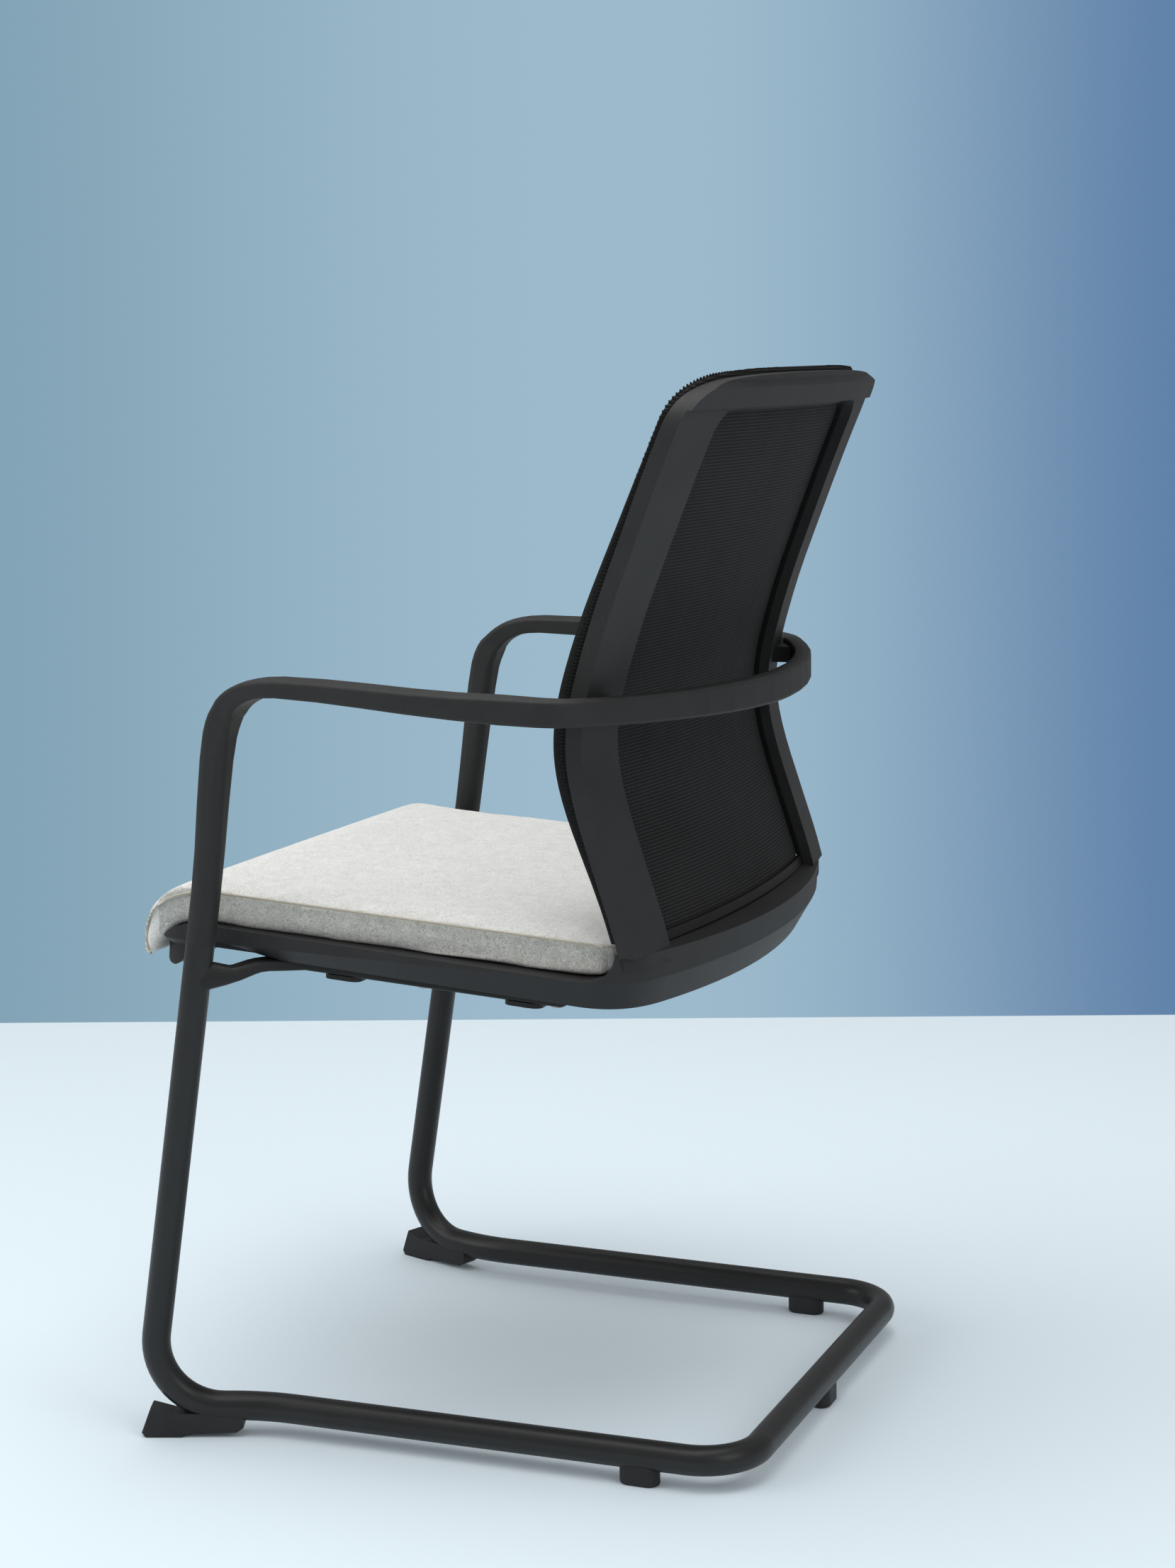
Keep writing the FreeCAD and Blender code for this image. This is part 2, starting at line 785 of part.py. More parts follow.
def opening_outline(inset, base_z):
    """Front view of the opening: a little narrower at the top."""
    low = upright_inner - inset
    high = opening_top_half - inset
    top = opening_top_z - inset
    r = opening_corner - min(inset, opening_corner - 6)
    side = [
        line(Vector(low, 0, base_z), Vector(low, 0, 640.0)),
        line(Vector(low, 0, 640.0), Vector(high, 0, top - r)),
        bezier([Vector(high, 0, top - r), Vector(high, 0, top - 0.45 * r), Vector(high - 0.55 * r, 0, top),
                Vector(high - r, 0, top)]),
    ]
    edges = side + [mirrored(e) for e in reversed(side)]
    edges.append(line(Vector(high - r, 0, top), Vector(-(high - r), 0, top)))
    edges.append(line(Vector(-low, 0, base_z), Vector(low, 0, base_z)))
    return Part.Face(Part.Wire(Part.__sortEdges__(edges)))


def through(face):
    """Carries a front-view face through the whole depth of the back."""
    moved = face.copy()
    moved.translate(Vector(0, 60, 0))
    return moved.extrude(Vector(0, 300, 0))


def make_top_bar():
    """Thicker top rail, bevelled above, that stands proud of the uprights."""
    def at(z, ahead):
        return Vector(0, rear_place(z)[0].y - ahead, z)

    low = opening_top_z
    corners = [
        at(low, frame_depth), at(low, -top_bar_proud + 1.0), at(low + 17.0, -top_bar_proud),
        at(back_top_z - 1.0, 4.0), at(back_top_z - 1.0, frame_depth),
    ]
    face = Part.Face(Part.makePolygon(corners + corners[:1]))
    axis = Vector(0, band_axis_y(), 0)
    face.rotate(axis, Vector(0, 0, 1), -12.0)
    return face.revolve(axis, Vector(0, 0, 1), 24.0)


def make_back_frame():
    band = turned_band(lambda z: 0.0, lambda z: frame_depth)
    for seat in loop_screw_seats():
        shank = screw_hole(seat, Vector(0, 1, 0), loop_screw_length)
        recess = screw_hole(seat, Vector(0, -1, 0), 12, screw_head_dia + hole_gap)
        band = band.cut(shank.fuse(recess))
    band = band.fuse(make_top_bar())
    band = band.common(through(front_outline(0, frame_base_z, 0)))
    band = band.cut(through(opening_outline(0, frame_base_z - 10)))
    trim, top = foot_trim()
    foot = Part.makeBox(800, 800, top, Vector(-400, -400, 0))
    return band.cut(foot).fuse(band.common(foot).common(trim)).removeSplitter()


def groove_ring(grown, width, near, far):
    """Ring between two outlines of the opening, within a slab of the band."""
    base = frame_base_z + 13.0
    slab = turned_band(lambda z: near, lambda z: far)
    outer = through(opening_outline(-grown, base))
    inner = through(opening_outline(width - grown, base + width))
    return slab.common(outer).cut(inner)


def make_strip(margin, width, near):
    """Strip that runs up one upright, over the top bar and down the other."""
    slab = turned_band(lambda z: near, lambda z: frame_depth)
    outer = through(front_outline(strip_inset - margin, 464.0 - margin, margin - strip_inset))
    inner = through(front_outline(strip_inset + width + margin, 440.0, -margin - strip_inset - width))
    return slab.common(outer).cut(inner)


def make_knit_carrier():
    grown = ring_width - ring_lip - hole_gap
    return groove_ring(grown, ring_width - hole_gap, frame_depth - ring_depth + 0.05, frame_depth)


def make_shell_frame():
    """Seat shell and back frame in one moulding, with its rebate, groove and screw holes."""
    tub = make_tub()
    for seat in shell_screw_seats():
        tub = tub.cut(seat_place(screw_hole(seat, Vector(0, 0, 1), carrier_height + floor_thickness)))
    for seat in board_screw_seats():
        tub = tub.cut(seat_place(screw_hole(seat, Vector(0, 0, 1), 12)))
    body = tub.fuse(make_back_frame()).removeSplitter()
    body = body.cut(groove_ring(ring_width - ring_lip, ring_width + 20, frame_depth - ring_depth, frame_depth + 2))
    return body.cut(make_strip(0.1, strip_width, frame_depth - strip_depth))


# Knit

def knit_thickness(z):
    """Thick at the lumbar, thin at the top and the bottom."""
    reach = 260.0 if z > lumbar_z else 150.0
    share = min(1.0, abs(z - lumbar_z) / reach)
    return knit_edge + (knit_lumbar - knit_edge) * 0.5 * (1 + math.cos(math.pi * share))


def make_back_knit():
    gap = cloth_gap
    slab = turned_band(lambda z: frame_depth + gap, lambda z: frame_depth + gap + knit_thickness(z))
    body = slab.common(through(front_outline(knit_inset, 457.0, knit_top_rise)))
    tab_low = frame_base_z + 13.0
    tab = Part.makeBox(2 * 198.0, 300.0, 460.0 - tab_low, Vector(-198.0, 60.0, tab_low))
    return body.fuse(slab.common(tab)).removeSplitter()


# Cushion, in the seat plane's own frame

def cushion_side(inset):
    """Side view of the cushion: flat seat, rolled front, rounded rear."""
    gap = cloth_gap
    top = seam_height + cushion_rise - inset
    lip = Vector(0, shell_front_y - gap, -33.0)
    flat = Vector(0, -214.0, gap)
    toe = Vector(0, -270.0 + inset * 0.5, -36.0 + inset)
    nose = Vector(0, cushion_front_y + inset, -18.0)
    brow = Vector(0, -208.0, top)
    heel = Vector(0, cushion_rear_y - inset, seam_height - 6.0)
    edges = [
        bezier([lip, lip + Vector(0, 0, 21), flat + Vector(0, -26, 0), flat]),
        line(flat, Vector(0, heel.y, gap)),
        line(Vector(0, heel.y, gap), heel),
        bezier([heel, heel + Vector(0, 0, 9), Vector(0, heel.y - 10, top - 1.0), Vector(0, heel.y - 34, top)]),
        line(Vector(0, heel.y - 34, top), brow),
        bezier([brow, brow + Vector(0, -34, 0), nose + Vector(0, 0, 32), nose]),
        bezier([nose, nose + Vector(0, 0, -11), toe + Vector(0, -5, -1), toe]),
        line(toe, lip),
    ]
    return face_of(edges)


def cushion_plan_edges(inset, z):
    """Right half of the cushion's plan, from the front middle to the rear middle."""
    front = cushion_front_y - 1 + inset
    half = cushion_half - inset
    rear = cushion_rear_y - inset
    r = cushion_corner
    side_end = rear - cushion_rear_bow - r
    return [
        line(Vector(0, front, z), Vector(half - r, front, z)),
        bezier([Vector(half - r, front, z), Vector(half - 0.45 * r, front, z), Vector(half, front + 0.55 * r, z),
                Vector(half, front + 1.3 * r, z)]),
        line(Vector(half, front + 1.3 * r, z), Vector(half, side_end, z)),
        bezier([Vector(half, side_end, z), Vector(half, side_end + 0.55 * r, z),
                Vector(half - 0.45 * r, rear - cushion_rear_bow - 1, z), Vector(half - r, rear - cushion_rear_bow, z)]),
        bezier([Vector(half - r, rear - cushion_rear_bow, z), Vector(half - 3.5 * r, rear - cushion_rear_bow + 4.5, z),
                Vector(70, rear, z), Vector(0, rear, z)]),
    ]


def cushion_plan(inset):
    """Right half of the cushion's plan, carried through its height."""
    side = cushion_plan_edges(inset, -80.0)
    side.append(line(side[-1].valueAt(side[-1].LastParameter), side[0].valueAt(side[0].FirstParameter)))
    return face_of(side).extrude(Vector(0, 0, 160))


def cushion_front_view(inset):
    """Right half: crowned top, rolled top edge and side drawn in a little at the bottom."""
    half = cushion_half - inset
    top = seam_height + cushion_rise - inset
    seam = seam_height - 4.0
    low = -60.0
    side = [
        line(Vector(0, 0, low), Vector(half - 2.5, 0, low)),
        line(Vector(half - 2.5, 0, low), Vector(half - 2.5, 0, 0)),
        bezier([Vector(half - 2.5, 0, 0), Vector(half - 0.3, 0, 6), Vector(half, 0, seam - 8), Vector(half, 0, seam)]),
        bezier([Vector(half, 0, seam), Vector(half, 0, seam + 8), Vector(half - 9, 0, top - 3.5),
                Vector(half - 30, 0, top - 2.6)]),
        bezier([Vector(half - 30, 0, top - 2.6), Vector(half - 80, 0, top - 1), Vector(60, 0, top + 0.5),
                Vector(0, 0, top + 0.5)]),
        line(Vector(0, 0, top + 0.5), Vector(0, 0, low)),
    ]
    face = face_of(side)
    face.translate(Vector(0, -320, 0))
    return face.extrude(Vector(0, 640, 0))


def shell_corner(gap):
    """The shell's inner corners beside the pocket, grown by a gap."""
    start, wall = corner_points()
    shift = Vector(0, -gap, gap)
    edges = [
        bezier([start + shift, start + Vector(0, 24, 0) + shift, wall - Vector(0, 0, 24) + shift, wall + shift]),
        line(wall + shift, Vector(0, wall.y - gap, 90)),
        line(Vector(0, wall.y - gap, 90), Vector(0, 240, 90)),
        line(Vector(0, 240, 90), Vector(0, 240, -10)),
        line(Vector(0, 240, -10), Vector(0, start.y - gap, -10)),
        line(Vector(0, start.y - gap, -10), start + shift),
    ]
    return between(face_of(edges), pocket_half - gap, 320)


def make_cushion(inset):
    """Right half of the cushion's body."""
    body = between(cushion_side(inset), 0, 300)
    body = body.common(cushion_plan(inset))
    body = body.common(cushion_front_view(inset))
    return body.cut(shell_corner(cloth_gap + inset))


def seam_points():
    """Side view of the seam between the side band and the top panel."""
    flat = Vector(0, -206.0, seam_height)
    nose = Vector(0, -276.5, -18.0)
    toe = Vector(0, -269.0, -33.0)
    return flat, nose, toe


def half_width_at(y):
    """Half width of the cushion's plan at y, round its front corner."""
    corner = cushion_plan_edges(0.0, 0.0)[1].discretize(40)
    near = min(corner, key=lambda point: abs(point.y - y))
    return near.x if y < corner[-1].y else cushion_half


def welt_path():
    """Line of the seam: up from the front toe, back along the side and round the rear."""
    flat, nose, toe = seam_points()
    plan = cushion_plan_edges(0.0, seam_height)
    side_end = plan[2].Vertexes[1].Point
    over = bezier([nose, nose + Vector(0, 0, 30), flat + Vector(0, -34, 0), flat]).discretize(7)
    under = bezier([toe, toe + Vector(0, -3, -5), nose + Vector(0, 0, -8), nose]).discretize(4)[:-1]
    rise = spline([Vector(half_width_at(p.y), p.y, p.z) for p in under + over])
    right = [rise, line(Vector(cushion_half, flat.y, flat.z), side_end), plan[3], plan[4]]
    return Part.Wire(right)


def above_seam():
    flat, nose, toe = seam_points()
    rear = Vector(0, 260, seam_height)
    edges = [
        line(rear, flat),
        bezier([flat, flat + Vector(0, -34, 0), nose + Vector(0, 0, 30), nose]),
        bezier([nose, nose + Vector(0, 0, -8), toe + Vector(0, -3, -5), toe]),
        line(toe, Vector(0, -262.0, -60)),
        line(Vector(0, -262.0, -60), Vector(0, -330, -60)),
        line(Vector(0, -330, -60), Vector(0, -330, 90)),
        line(Vector(0, -330, 90), Vector(0, 260, 90)),
        line(Vector(0, 260, 90), rear),
    ]
    return across(face_of(edges), 300)


def make_cushion_parts():
    outer = make_cushion(0.0)
    inner = make_cushion(felt)
    foam = make_cushion(felt + cloth_gap)
    upper = above_seam()
    path = welt_path()
    channel = swept_round(path, welt_dia + 2 * welt_gap)
    skin = outer.cut(inner)
    cover = skin.common(upper).cut(channel)
    border = skin.cut(upper).cut(channel)
    low = board_top() + cloth_gap
    plug_front = pocket_front_y + 4
    plug_rear = cushion_rear_y - 2 * cushion_rear_bow
    plug = Part.makeBox(pocket_half - 4, plug_rear - plug_front, felt + 2.0 - low, Vector(0, plug_front, low))
    foam = foam.fuse(plug).cut(channel)
    border = border.cut(plug)
    welt = swept_round(path, welt_dia)
    return [half.fuse(mirrored(half)).removeSplitter() for half in (cover, border, foam, welt)]


def board_top():
    return -shell_depth + floor_thickness + board_thickness


def board_screw_seats():
    return [Vector(sign * board_screw_x, y, -shell_depth) for sign in (1, -1) for y in board_screw_ys]


def make_board_screws():
    return Part.makeCompound([make_screw(seat, Vector(0, 0, 1), 11.0) for seat in board_screw_seats()])


def make_board_nuts():
    """Flanged nuts let into the board from above."""
    nuts = []
    for seat in board_screw_seats():
        top = Vector(seat.x, seat.y, board_top())
        flange = Part.makeCylinder(nut_flange_dia / 2, nut_flange, top - Vector(0, 0, nut_flange))
        barrel = Part.makeCylinder(nut_barrel_dia / 2, 7.0, top - Vector(0, 0, 7.0))
        nuts.append(flange.fuse(barrel).cut(screw_hole(seat, Vector(0, 0, 1), 30)))
    return Part.makeCompound(nuts)


def make_seat_board():
    length = cushion_rear_y - 2 * cushion_rear_bow - pocket_front_y
    board = Part.makeBox(2 * (pocket_half - 2), length, board_thickness,
                         Vector(-(pocket_half - 2), pocket_front_y + 2, -shell_depth + floor_thickness))
    uprights = [e for e in board.Edges if e.BoundBox.ZLength > board_thickness - 1]
    board = board.makeFillet(13, uprights)
    for seat in board_screw_seats():
        top = Vector(seat.x, seat.y, board_top())
        board = board.cut(Part.makeCylinder((nut_barrel_dia + hole_gap) / 2, 30, top - Vector(0, 0, 15)))
        board = board.cut(Part.makeCylinder((nut_flange_dia + hole_gap) / 2, 5, top - Vector(0, 0, nut_flange)))
    return board


# Carrier

def make_carrier(outer):
    """Right-hand carrier: flared arm from the leg, then a flat rail under the shell."""
    top_z = -shell_depth
    rail_z = top_z - carrier_height / 2
    start = leg_top + leg_direction() * ((carrier_leg_z - leg_top.z) / leg_direction().z)
    end = seat_point(Vector(carrier_x, carrier_front_y, rail_z))
    ahead = seat_point(Vector(carrier_x, carrier_front_y + 20, rail_z))
    stations = [
        (start, flare_width, flare_height, 11.0, 0.0),
        (start + Vector(-9.0, 12.0, 0.2), flare_width - 2, flare_height - 6, 9.0, 0.0),
        (start + Vector(-18.0, 25.0, 0.6), 20.0, 13.0, 5.0, 0.0),
        (Vector(246.0, -166.0, end.z + 0.8), 20.0, carrier_height + 0.5, 3.0, 0.0),
        (Vector(226.0, -144.0, end.z + 0.6), 23.0, carrier_height, 2.2, 0.0),
        (end, carrier_width, carrier_height, 2.0, 0.0),
        (ahead, carrier_width, carrier_height, 2.0, 0.0),
    ]
    curve = Part.BSplineCurve()
    curve.interpolate([s[0] for s in stations])
    first = curve.parameter(start)
    last = curve.parameter(ahead)
    arm = ruled_sweep(curve, stations, first, last, 8.0, 14.0)
    rail = Part.makeBox(carrier_width, carrier_rear_y - carrier_front_y, carrier_height,
                        Vector(carrier_x - carrier_width / 2, carrier_front_y, top_z - carrier_height))
    rail = rail.makeFillet(2.0, [e for e in rail.Edges if e.BoundBox.YLength > 100 and e.BoundBox.ZMax < top_z - 1])
    ends = [e for e in rail.Edges if e.BoundBox.ZLength > 5 and e.BoundBox.YMin > carrier_rear_y - 1]
    rail = rail.makeFillet(8.0, ends)
    above = Part.makeBox(200, 500, 60, Vector(120, -170, top_z))
    carrier = arm.cut(seat_place(above)).fuse(seat_place(rail)).cut(outer)
    for seat in bar_bolt_seats():
        carrier = carrier.cut(seat_place(screw_hole(seat, Vector(0, 0, 1), 12.5)))
    for seat in shell_screw_seats():
        carrier = carrier.cut(seat_place(screw_hole(seat, Vector(0, 0, 1), 16)))
    return largest(carrier)


def bar_bolt_seats():
    low = -shell_depth - carrier_height - cross_bar_height
    return [Vector(sign * carrier_x, y, low) for sign in (1, -1) for y in cross_bar_ys]


def shell_screw_seats():
    low = -shell_depth - carrier_height
    return [Vector(sign * carrier_x, y, low) for sign in (1, -1) for y in shell_screw_ys]


def make_bar_bolts():
    return Part.makeCompound([make_screw(seat, Vector(0, 0, 1), 12.0) for seat in bar_bolt_seats()])


def make_shell_screws():
    length = carrier_height + floor_thickness - 0.5
    return Part.makeCompound([make_screw(seat, Vector(0, 0, 1), length) for seat in shell_screw_seats()])


def make_cross_bars():
    bars = []
    for y in cross_bar_ys:
        low = -shell_depth - carrier_height - cross_bar_height
        length = 2 * carrier_x + carrier_width
        bar = Part.makeBox(length, cross_bar_width, cross_bar_height,
                           Vector(-length / 2, y - cross_bar_width / 2, low))
        corners = [e for e in bar.Edges if e.BoundBox.ZLength > cross_bar_height - 1]
        bar = bar.makeFillet(8.0, corners)
        for seat in bar_bolt_seats():
            bar = bar.cut(screw_hole(seat, Vector(0, 0, 1), 12))
        bars.append(bar)
    return Part.makeCompound(bars)


def save(name, shape):
    shape.exportStep("parts/" + name + ".step")
    box = shape.BoundBox
    count = len(shape.Solids)
    size = "%.1f %.1f %.1f" % (box.XLength, box.YLength, box.ZLength)
    print(name, "solids", count, "valid", shape.isValid(), "size", size)


def make_screw(seat, direction, length, diameter=screw_dia, head=screw_head_dia, height=screw_head_height):
    """Pan-head screw whose head bears at seat and whose shank runs along direction."""
    axis = Vector(direction).normalize()
    cap = Part.makeCylinder(head / 2, height, seat, axis * -1)
    rim = [e for e in cap.Edges if abs((e.CenterOfMass - seat).dot(axis)) > height - 0.1]
    cap = cap.makeFillet(height / 3, rim)
    shank = Part.makeCylinder(diameter / 2, length, seat, axis)
    return cap.fuse(shank)


def screw_hole(seat, direction, length, diameter=screw_dia):
    axis = Vector(direction).normalize()
    return Part.makeCylinder((diameter + hole_gap) / 2, length, seat, axis)


def build():
    outer = swept_round(base_path(0.0), tube_dia)
    save("base_tube", make_base_tube(outer))
    save("front_glides", both_sides(cut_rivets(make_front_glide(outer))))
    right_pad = make_pad(outer, Vector(runner_x(pad_y), pad_y, 0), Vector(0, 1, 0))
    save("rear_pads", both_sides(cut_rivets(right_pad)))
    save("centre_pad", cut_rivets(make_pad(outer, Vector(0, rear_tube_y, 0), Vector(1, 0, 0))))
    save("glide_rivets", make_rivets())

    loop = make_arm_loop()
    save("arm_loop", loop)
    save("post_spigots", make_post_spigots())
    save("spigot_pins", make_spigot_pins())

    frame = make_shell_frame()
    save("shell_frame", frame)
    save("loop_blocks", make_loop_blocks(frame, loop))
    save("loop_screws", make_loop_screws())
    save("knit_carrier", make_knit_carrier())
    save("knit_strip", make_strip(0.0, strip_width, frame_depth - strip_depth + 0.05))
    save("back_knit", make_back_knit())

    carrier = make_carrier(swept_round(base_path(60.0), tube_dia))
    save("carrier_right", carrier)
    save("carrier_left", mirrored(carrier))
    save("carrier_bars", seat_place(make_cross_bars()))
    save("bar_bolts", seat_place(make_bar_bolts()))
    save("shell_screws", seat_place(make_shell_screws()))

    cover, border, foam, welt = make_cushion_parts()
    save("seat_cover", seat_place(cover))
    save("seat_border", seat_place(border))
    save("seat_foam", seat_place(foam))
    save("seat_welt", seat_place(welt))
    save("seat_board", seat_place(make_seat_board()))
    save("board_nuts", seat_place(make_board_nuts()))
    save("board_screws", seat_place(make_board_screws()))


build()
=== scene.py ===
import json
import math
import bmesh
import bpy
from mathutils import Matrix, Vector
from mathutils.bvhtree import BVHTree


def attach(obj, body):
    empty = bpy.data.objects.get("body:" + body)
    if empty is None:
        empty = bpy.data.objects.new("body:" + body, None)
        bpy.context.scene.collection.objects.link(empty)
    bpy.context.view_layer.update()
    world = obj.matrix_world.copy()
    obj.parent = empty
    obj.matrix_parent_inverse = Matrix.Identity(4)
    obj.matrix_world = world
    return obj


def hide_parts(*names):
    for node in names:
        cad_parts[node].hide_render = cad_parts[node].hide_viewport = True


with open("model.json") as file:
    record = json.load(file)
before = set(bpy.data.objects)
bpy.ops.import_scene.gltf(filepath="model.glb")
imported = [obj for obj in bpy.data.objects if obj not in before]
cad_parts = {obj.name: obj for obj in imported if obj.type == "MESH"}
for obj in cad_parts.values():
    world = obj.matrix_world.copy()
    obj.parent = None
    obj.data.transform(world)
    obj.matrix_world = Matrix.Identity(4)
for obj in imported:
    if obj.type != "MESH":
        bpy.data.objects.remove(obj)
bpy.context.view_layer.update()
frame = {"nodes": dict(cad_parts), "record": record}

scene = bpy.context.scene
nodes = frame["nodes"]
print("frame loaded:", len(nodes), "nodes")

mm = 0.001


def addNode(tree, kind, inputs=None, **settings):
    node = tree.nodes.new(kind)
    for key, value in settings.items():
        setattr(node, key, value)
    for key, value in (inputs or {}).items():
        node.inputs[key].default_value = value
    return node


def mathNode(tree, operation, first, second=None, clamp=False):
    node = addNode(tree, "ShaderNodeMath", operation=operation, use_clamp=clamp)
    for index, source in enumerate((first, second)):
        if source is None:
            continue
        if isinstance(source, (int, float)):
            node.inputs[index].default_value = source
        else:
            tree.links.new(source, node.inputs[index])
    return node.outputs[0]


def rampNode(tree, source, low, high, toLow=0.0, toHigh=1.0):
    node = addNode(tree, "ShaderNodeMapRange", {"From Min": low, "From Max": high, "To Min": toLow, "To Max": toHigh},
                   interpolation_type="SMOOTHSTEP")
    tree.links.new(source, node.inputs["Value"])
    return node.outputs["Result"]


def mixColours(tree, factor, first, second):
    node = addNode(tree, "ShaderNodeMix", data_type="RGBA")
    for socket, source in ((node.inputs[0], factor), (node.inputs[6], first), (node.inputs[7], second)):
        if isinstance(source, (int, float)):
            socket.default_value = source
        elif isinstance(source, tuple):
            socket.default_value = source if len(source) == 4 else source + (1.0,)
        else:
            tree.links.new(source, socket)
    return node.outputs[2]


def newGroup(name, inputs, outputs):
    group = bpy.data.node_groups.new(name, "ShaderNodeTree")
    for label, kind, value in inputs:
        socket = group.interface.new_socket(name=label, in_out="INPUT", socket_type=kind)
        if value is not None:
            socket.default_value = value
    for label, kind in outputs:
        group.interface.new_socket(name=label, in_out="OUTPUT", socket_type=kind)
    start = group.nodes.new("NodeGroupInput")
    end = group.nodes.new("NodeGroupOutput")
    return group, start, end


def useGroup(tree, group, values=None, links=None):
    node = tree.nodes.new("ShaderNodeGroup")
    node.node_tree = group
    for key, value in (values or {}).items():
        node.inputs[key].default_value = value
    for key, source in (links or {}).items():
        tree.links.new(source, node.inputs[key])
    return node


def makeGrainGroup():  # grain of a coating or a moulding, in two sizes
    group, start, end = newGroup("surfaceGrain", [
        ("Vector", "NodeSocketVector", None), ("Grain per metre", "NodeSocketFloat", 1800.0),
        ("Patch per metre", "NodeSocketFloat", 22.0)],
        [("Height", "NodeSocketFloat"), ("Patches", "NodeSocketFloat")])
    fine = addNode(group, "ShaderNodeTexNoise", {"Detail": 3.0, "Roughness": 0.6})
    broad = addNode(group, "ShaderNodeTexNoise", {"Detail": 4.0, "Roughness": 0.55})
    for node, key in ((fine, "Grain per metre"), (broad, "Patch per metre")):
        group.links.new(start.outputs["Vector"], node.inputs["Vector"])
        group.links.new(start.outputs[key], node.inputs["Scale"])
    group.links.new(fine.outputs[0], end.inputs["Height"])
    group.links.new(rampNode(group, broad.outputs[0], 0.3, 0.7), end.inputs["Patches"])
    return group


def makePaintedTopLightGroup():  # painted top light: pale specks on faces that look up
    group, start, end = newGroup("paintedTopLightSpecks", [
        ("Vector", "NodeSocketVector", None), ("Colour", "NodeSocketColor", (0.03, 0.03, 0.03, 1)),
        ("Painted Light", "NodeSocketColor", (0.3, 0.3, 0.31, 1)), ("Amount", "NodeSocketFloat", 0.1)],
        [("Colour", "NodeSocketColor"), ("Mask", "NodeSocketFloat")])
    geometry = addNode(group, "ShaderNodeNewGeometry")
    split = addNode(group, "ShaderNodeSeparateXYZ")
    group.links.new(geometry.outputs["Normal"], split.inputs[0])
    upward = rampNode(group, split.outputs["Z"], 0.15, 0.95)
    speck = addNode(group, "ShaderNodeTexNoise", {"Scale": 260.0, "Detail": 6.0, "Roughness": 0.7})
    group.links.new(start.outputs["Vector"], speck.inputs["Vector"])
    mask = mathNode(group, "MULTIPLY", upward, rampNode(group, speck.outputs[0], 0.35, 0.75))
    mask = mathNode(group, "MULTIPLY", mask, start.outputs["Amount"])
    group.links.new(mask, end.inputs["Mask"])
    group.links.new(mixColours(group, mask, start.outputs["Colour"], start.outputs["Painted Light"]), end.inputs["Colour"])
    return group


def makeFibreGroup():  # thin lines where a warped noise crosses its middle
    group, start, end = newGroup("woolFibres", [
        ("Vector", "NodeSocketVector", None), ("Fibres per metre", "NodeSocketFloat", 240.0),
        ("Width", "NodeSocketFloat", 0.03)],
        [("Lines", "NodeSocketFloat"), ("Nap", "NodeSocketFloat")])
    field = addNode(group, "ShaderNodeTexNoise", {"Detail": 1.5, "Roughness": 0.5, "Distortion": 1.6})
    nap = addNode(group, "ShaderNodeTexNoise", {"Scale": 900.0, "Detail": 5.0, "Roughness": 0.75})
    group.links.new(start.outputs["Vector"], field.inputs["Vector"])
    group.links.new(start.outputs["Fibres per metre"], field.inputs["Scale"])
    group.links.new(start.outputs["Vector"], nap.inputs["Vector"])
    away = mathNode(group, "ABSOLUTE", mathNode(group, "SUBTRACT", field.outputs[0], 0.5))
    line = mathNode(group, "SUBTRACT", 1.0, mathNode(group, "DIVIDE", away, start.outputs["Width"]), clamp=True)
    group.links.new(line, end.inputs["Lines"])
    group.links.new(nap.outputs[0], end.inputs["Nap"])
    return group


def makeKnitGroup():  # staggered loops on a UV map in metres
    group, start, end = newGroup("spacerKnit", [
        ("UV", "NodeSocketVector", None), ("Across", "NodeSocketFloat", 0.0027), ("Along", "NodeSocketFloat", 0.0026),
        ("Dot", "NodeSocketFloat", 0.3)],
        [("Dots", "NodeSocketFloat"), ("Height", "NodeSocketFloat")])
    split = addNode(group, "ShaderNodeSeparateXYZ")
    group.links.new(start.outputs["UV"], split.inputs[0])
    row = mathNode(group, "DIVIDE", split.outputs["Y"], start.outputs["Along"])
    column = mathNode(group, "DIVIDE", split.outputs["X"], start.outputs["Across"])
    odd = mathNode(group, "MODULO", mathNode(group, "FLOOR", row), 2.0)
    column = mathNode(group, "ADD", column, mathNode(group, "MULTIPLY", odd, 0.5))
    across = mathNode(group, "SUBTRACT", mathNode(group, "FRACT", column), 0.5)
    along = mathNode(group, "SUBTRACT", mathNode(group, "FRACT", row), 0.5)
    reach = mathNode(group, "SQRT", mathNode(
        group, "ADD", mathNode(group, "MULTIPLY", across, across), mathNode(group, "MULTIPLY", along, along)))
    dots = mathNode(group, "SUBTRACT", 1.0, mathNode(group, "DIVIDE", reach, start.outputs["Dot"]), clamp=True)
    group.links.new(rampNode(group, dots, 0.0, 0.6), end.inputs["Dots"])
    group.links.new(mathNode(group, "SUBTRACT", 1.0, mathNode(group, "MULTIPLY", reach, 1.4), clamp=True),
                    end.inputs["Height"])
    return group


grainGroup = makeGrainGroup()
paintedTopLightGroup = makePaintedTopLightGroup()
fibreGroup = makeFibreGroup()
knitGroup = makeKnitGroup()


def startMaterial(name):
    material = bpy.data.materials.new(name)
    material.use_nodes = True
    tree = material.node_tree
    tree.nodes.clear()
    shader = addNode(tree, "ShaderNodeBsdfPrincipled")
    output = addNode(tree, "ShaderNodeOutputMaterial")
    tree.links.new(shader.outputs[0], output.inputs[0])
    place = addNode(tree, "ShaderNodeTexCoord")
    return material, tree, shader, place


def bumpFrom(tree, shader, height, strength, distance):
    bump = addNode(tree, "ShaderNodeBump", {"Strength": strength, "Distance": distance})
    tree.links.new(height, bump.inputs["Height"])
    tree.links.new(bump.outputs[0], shader.inputs["Normal"])


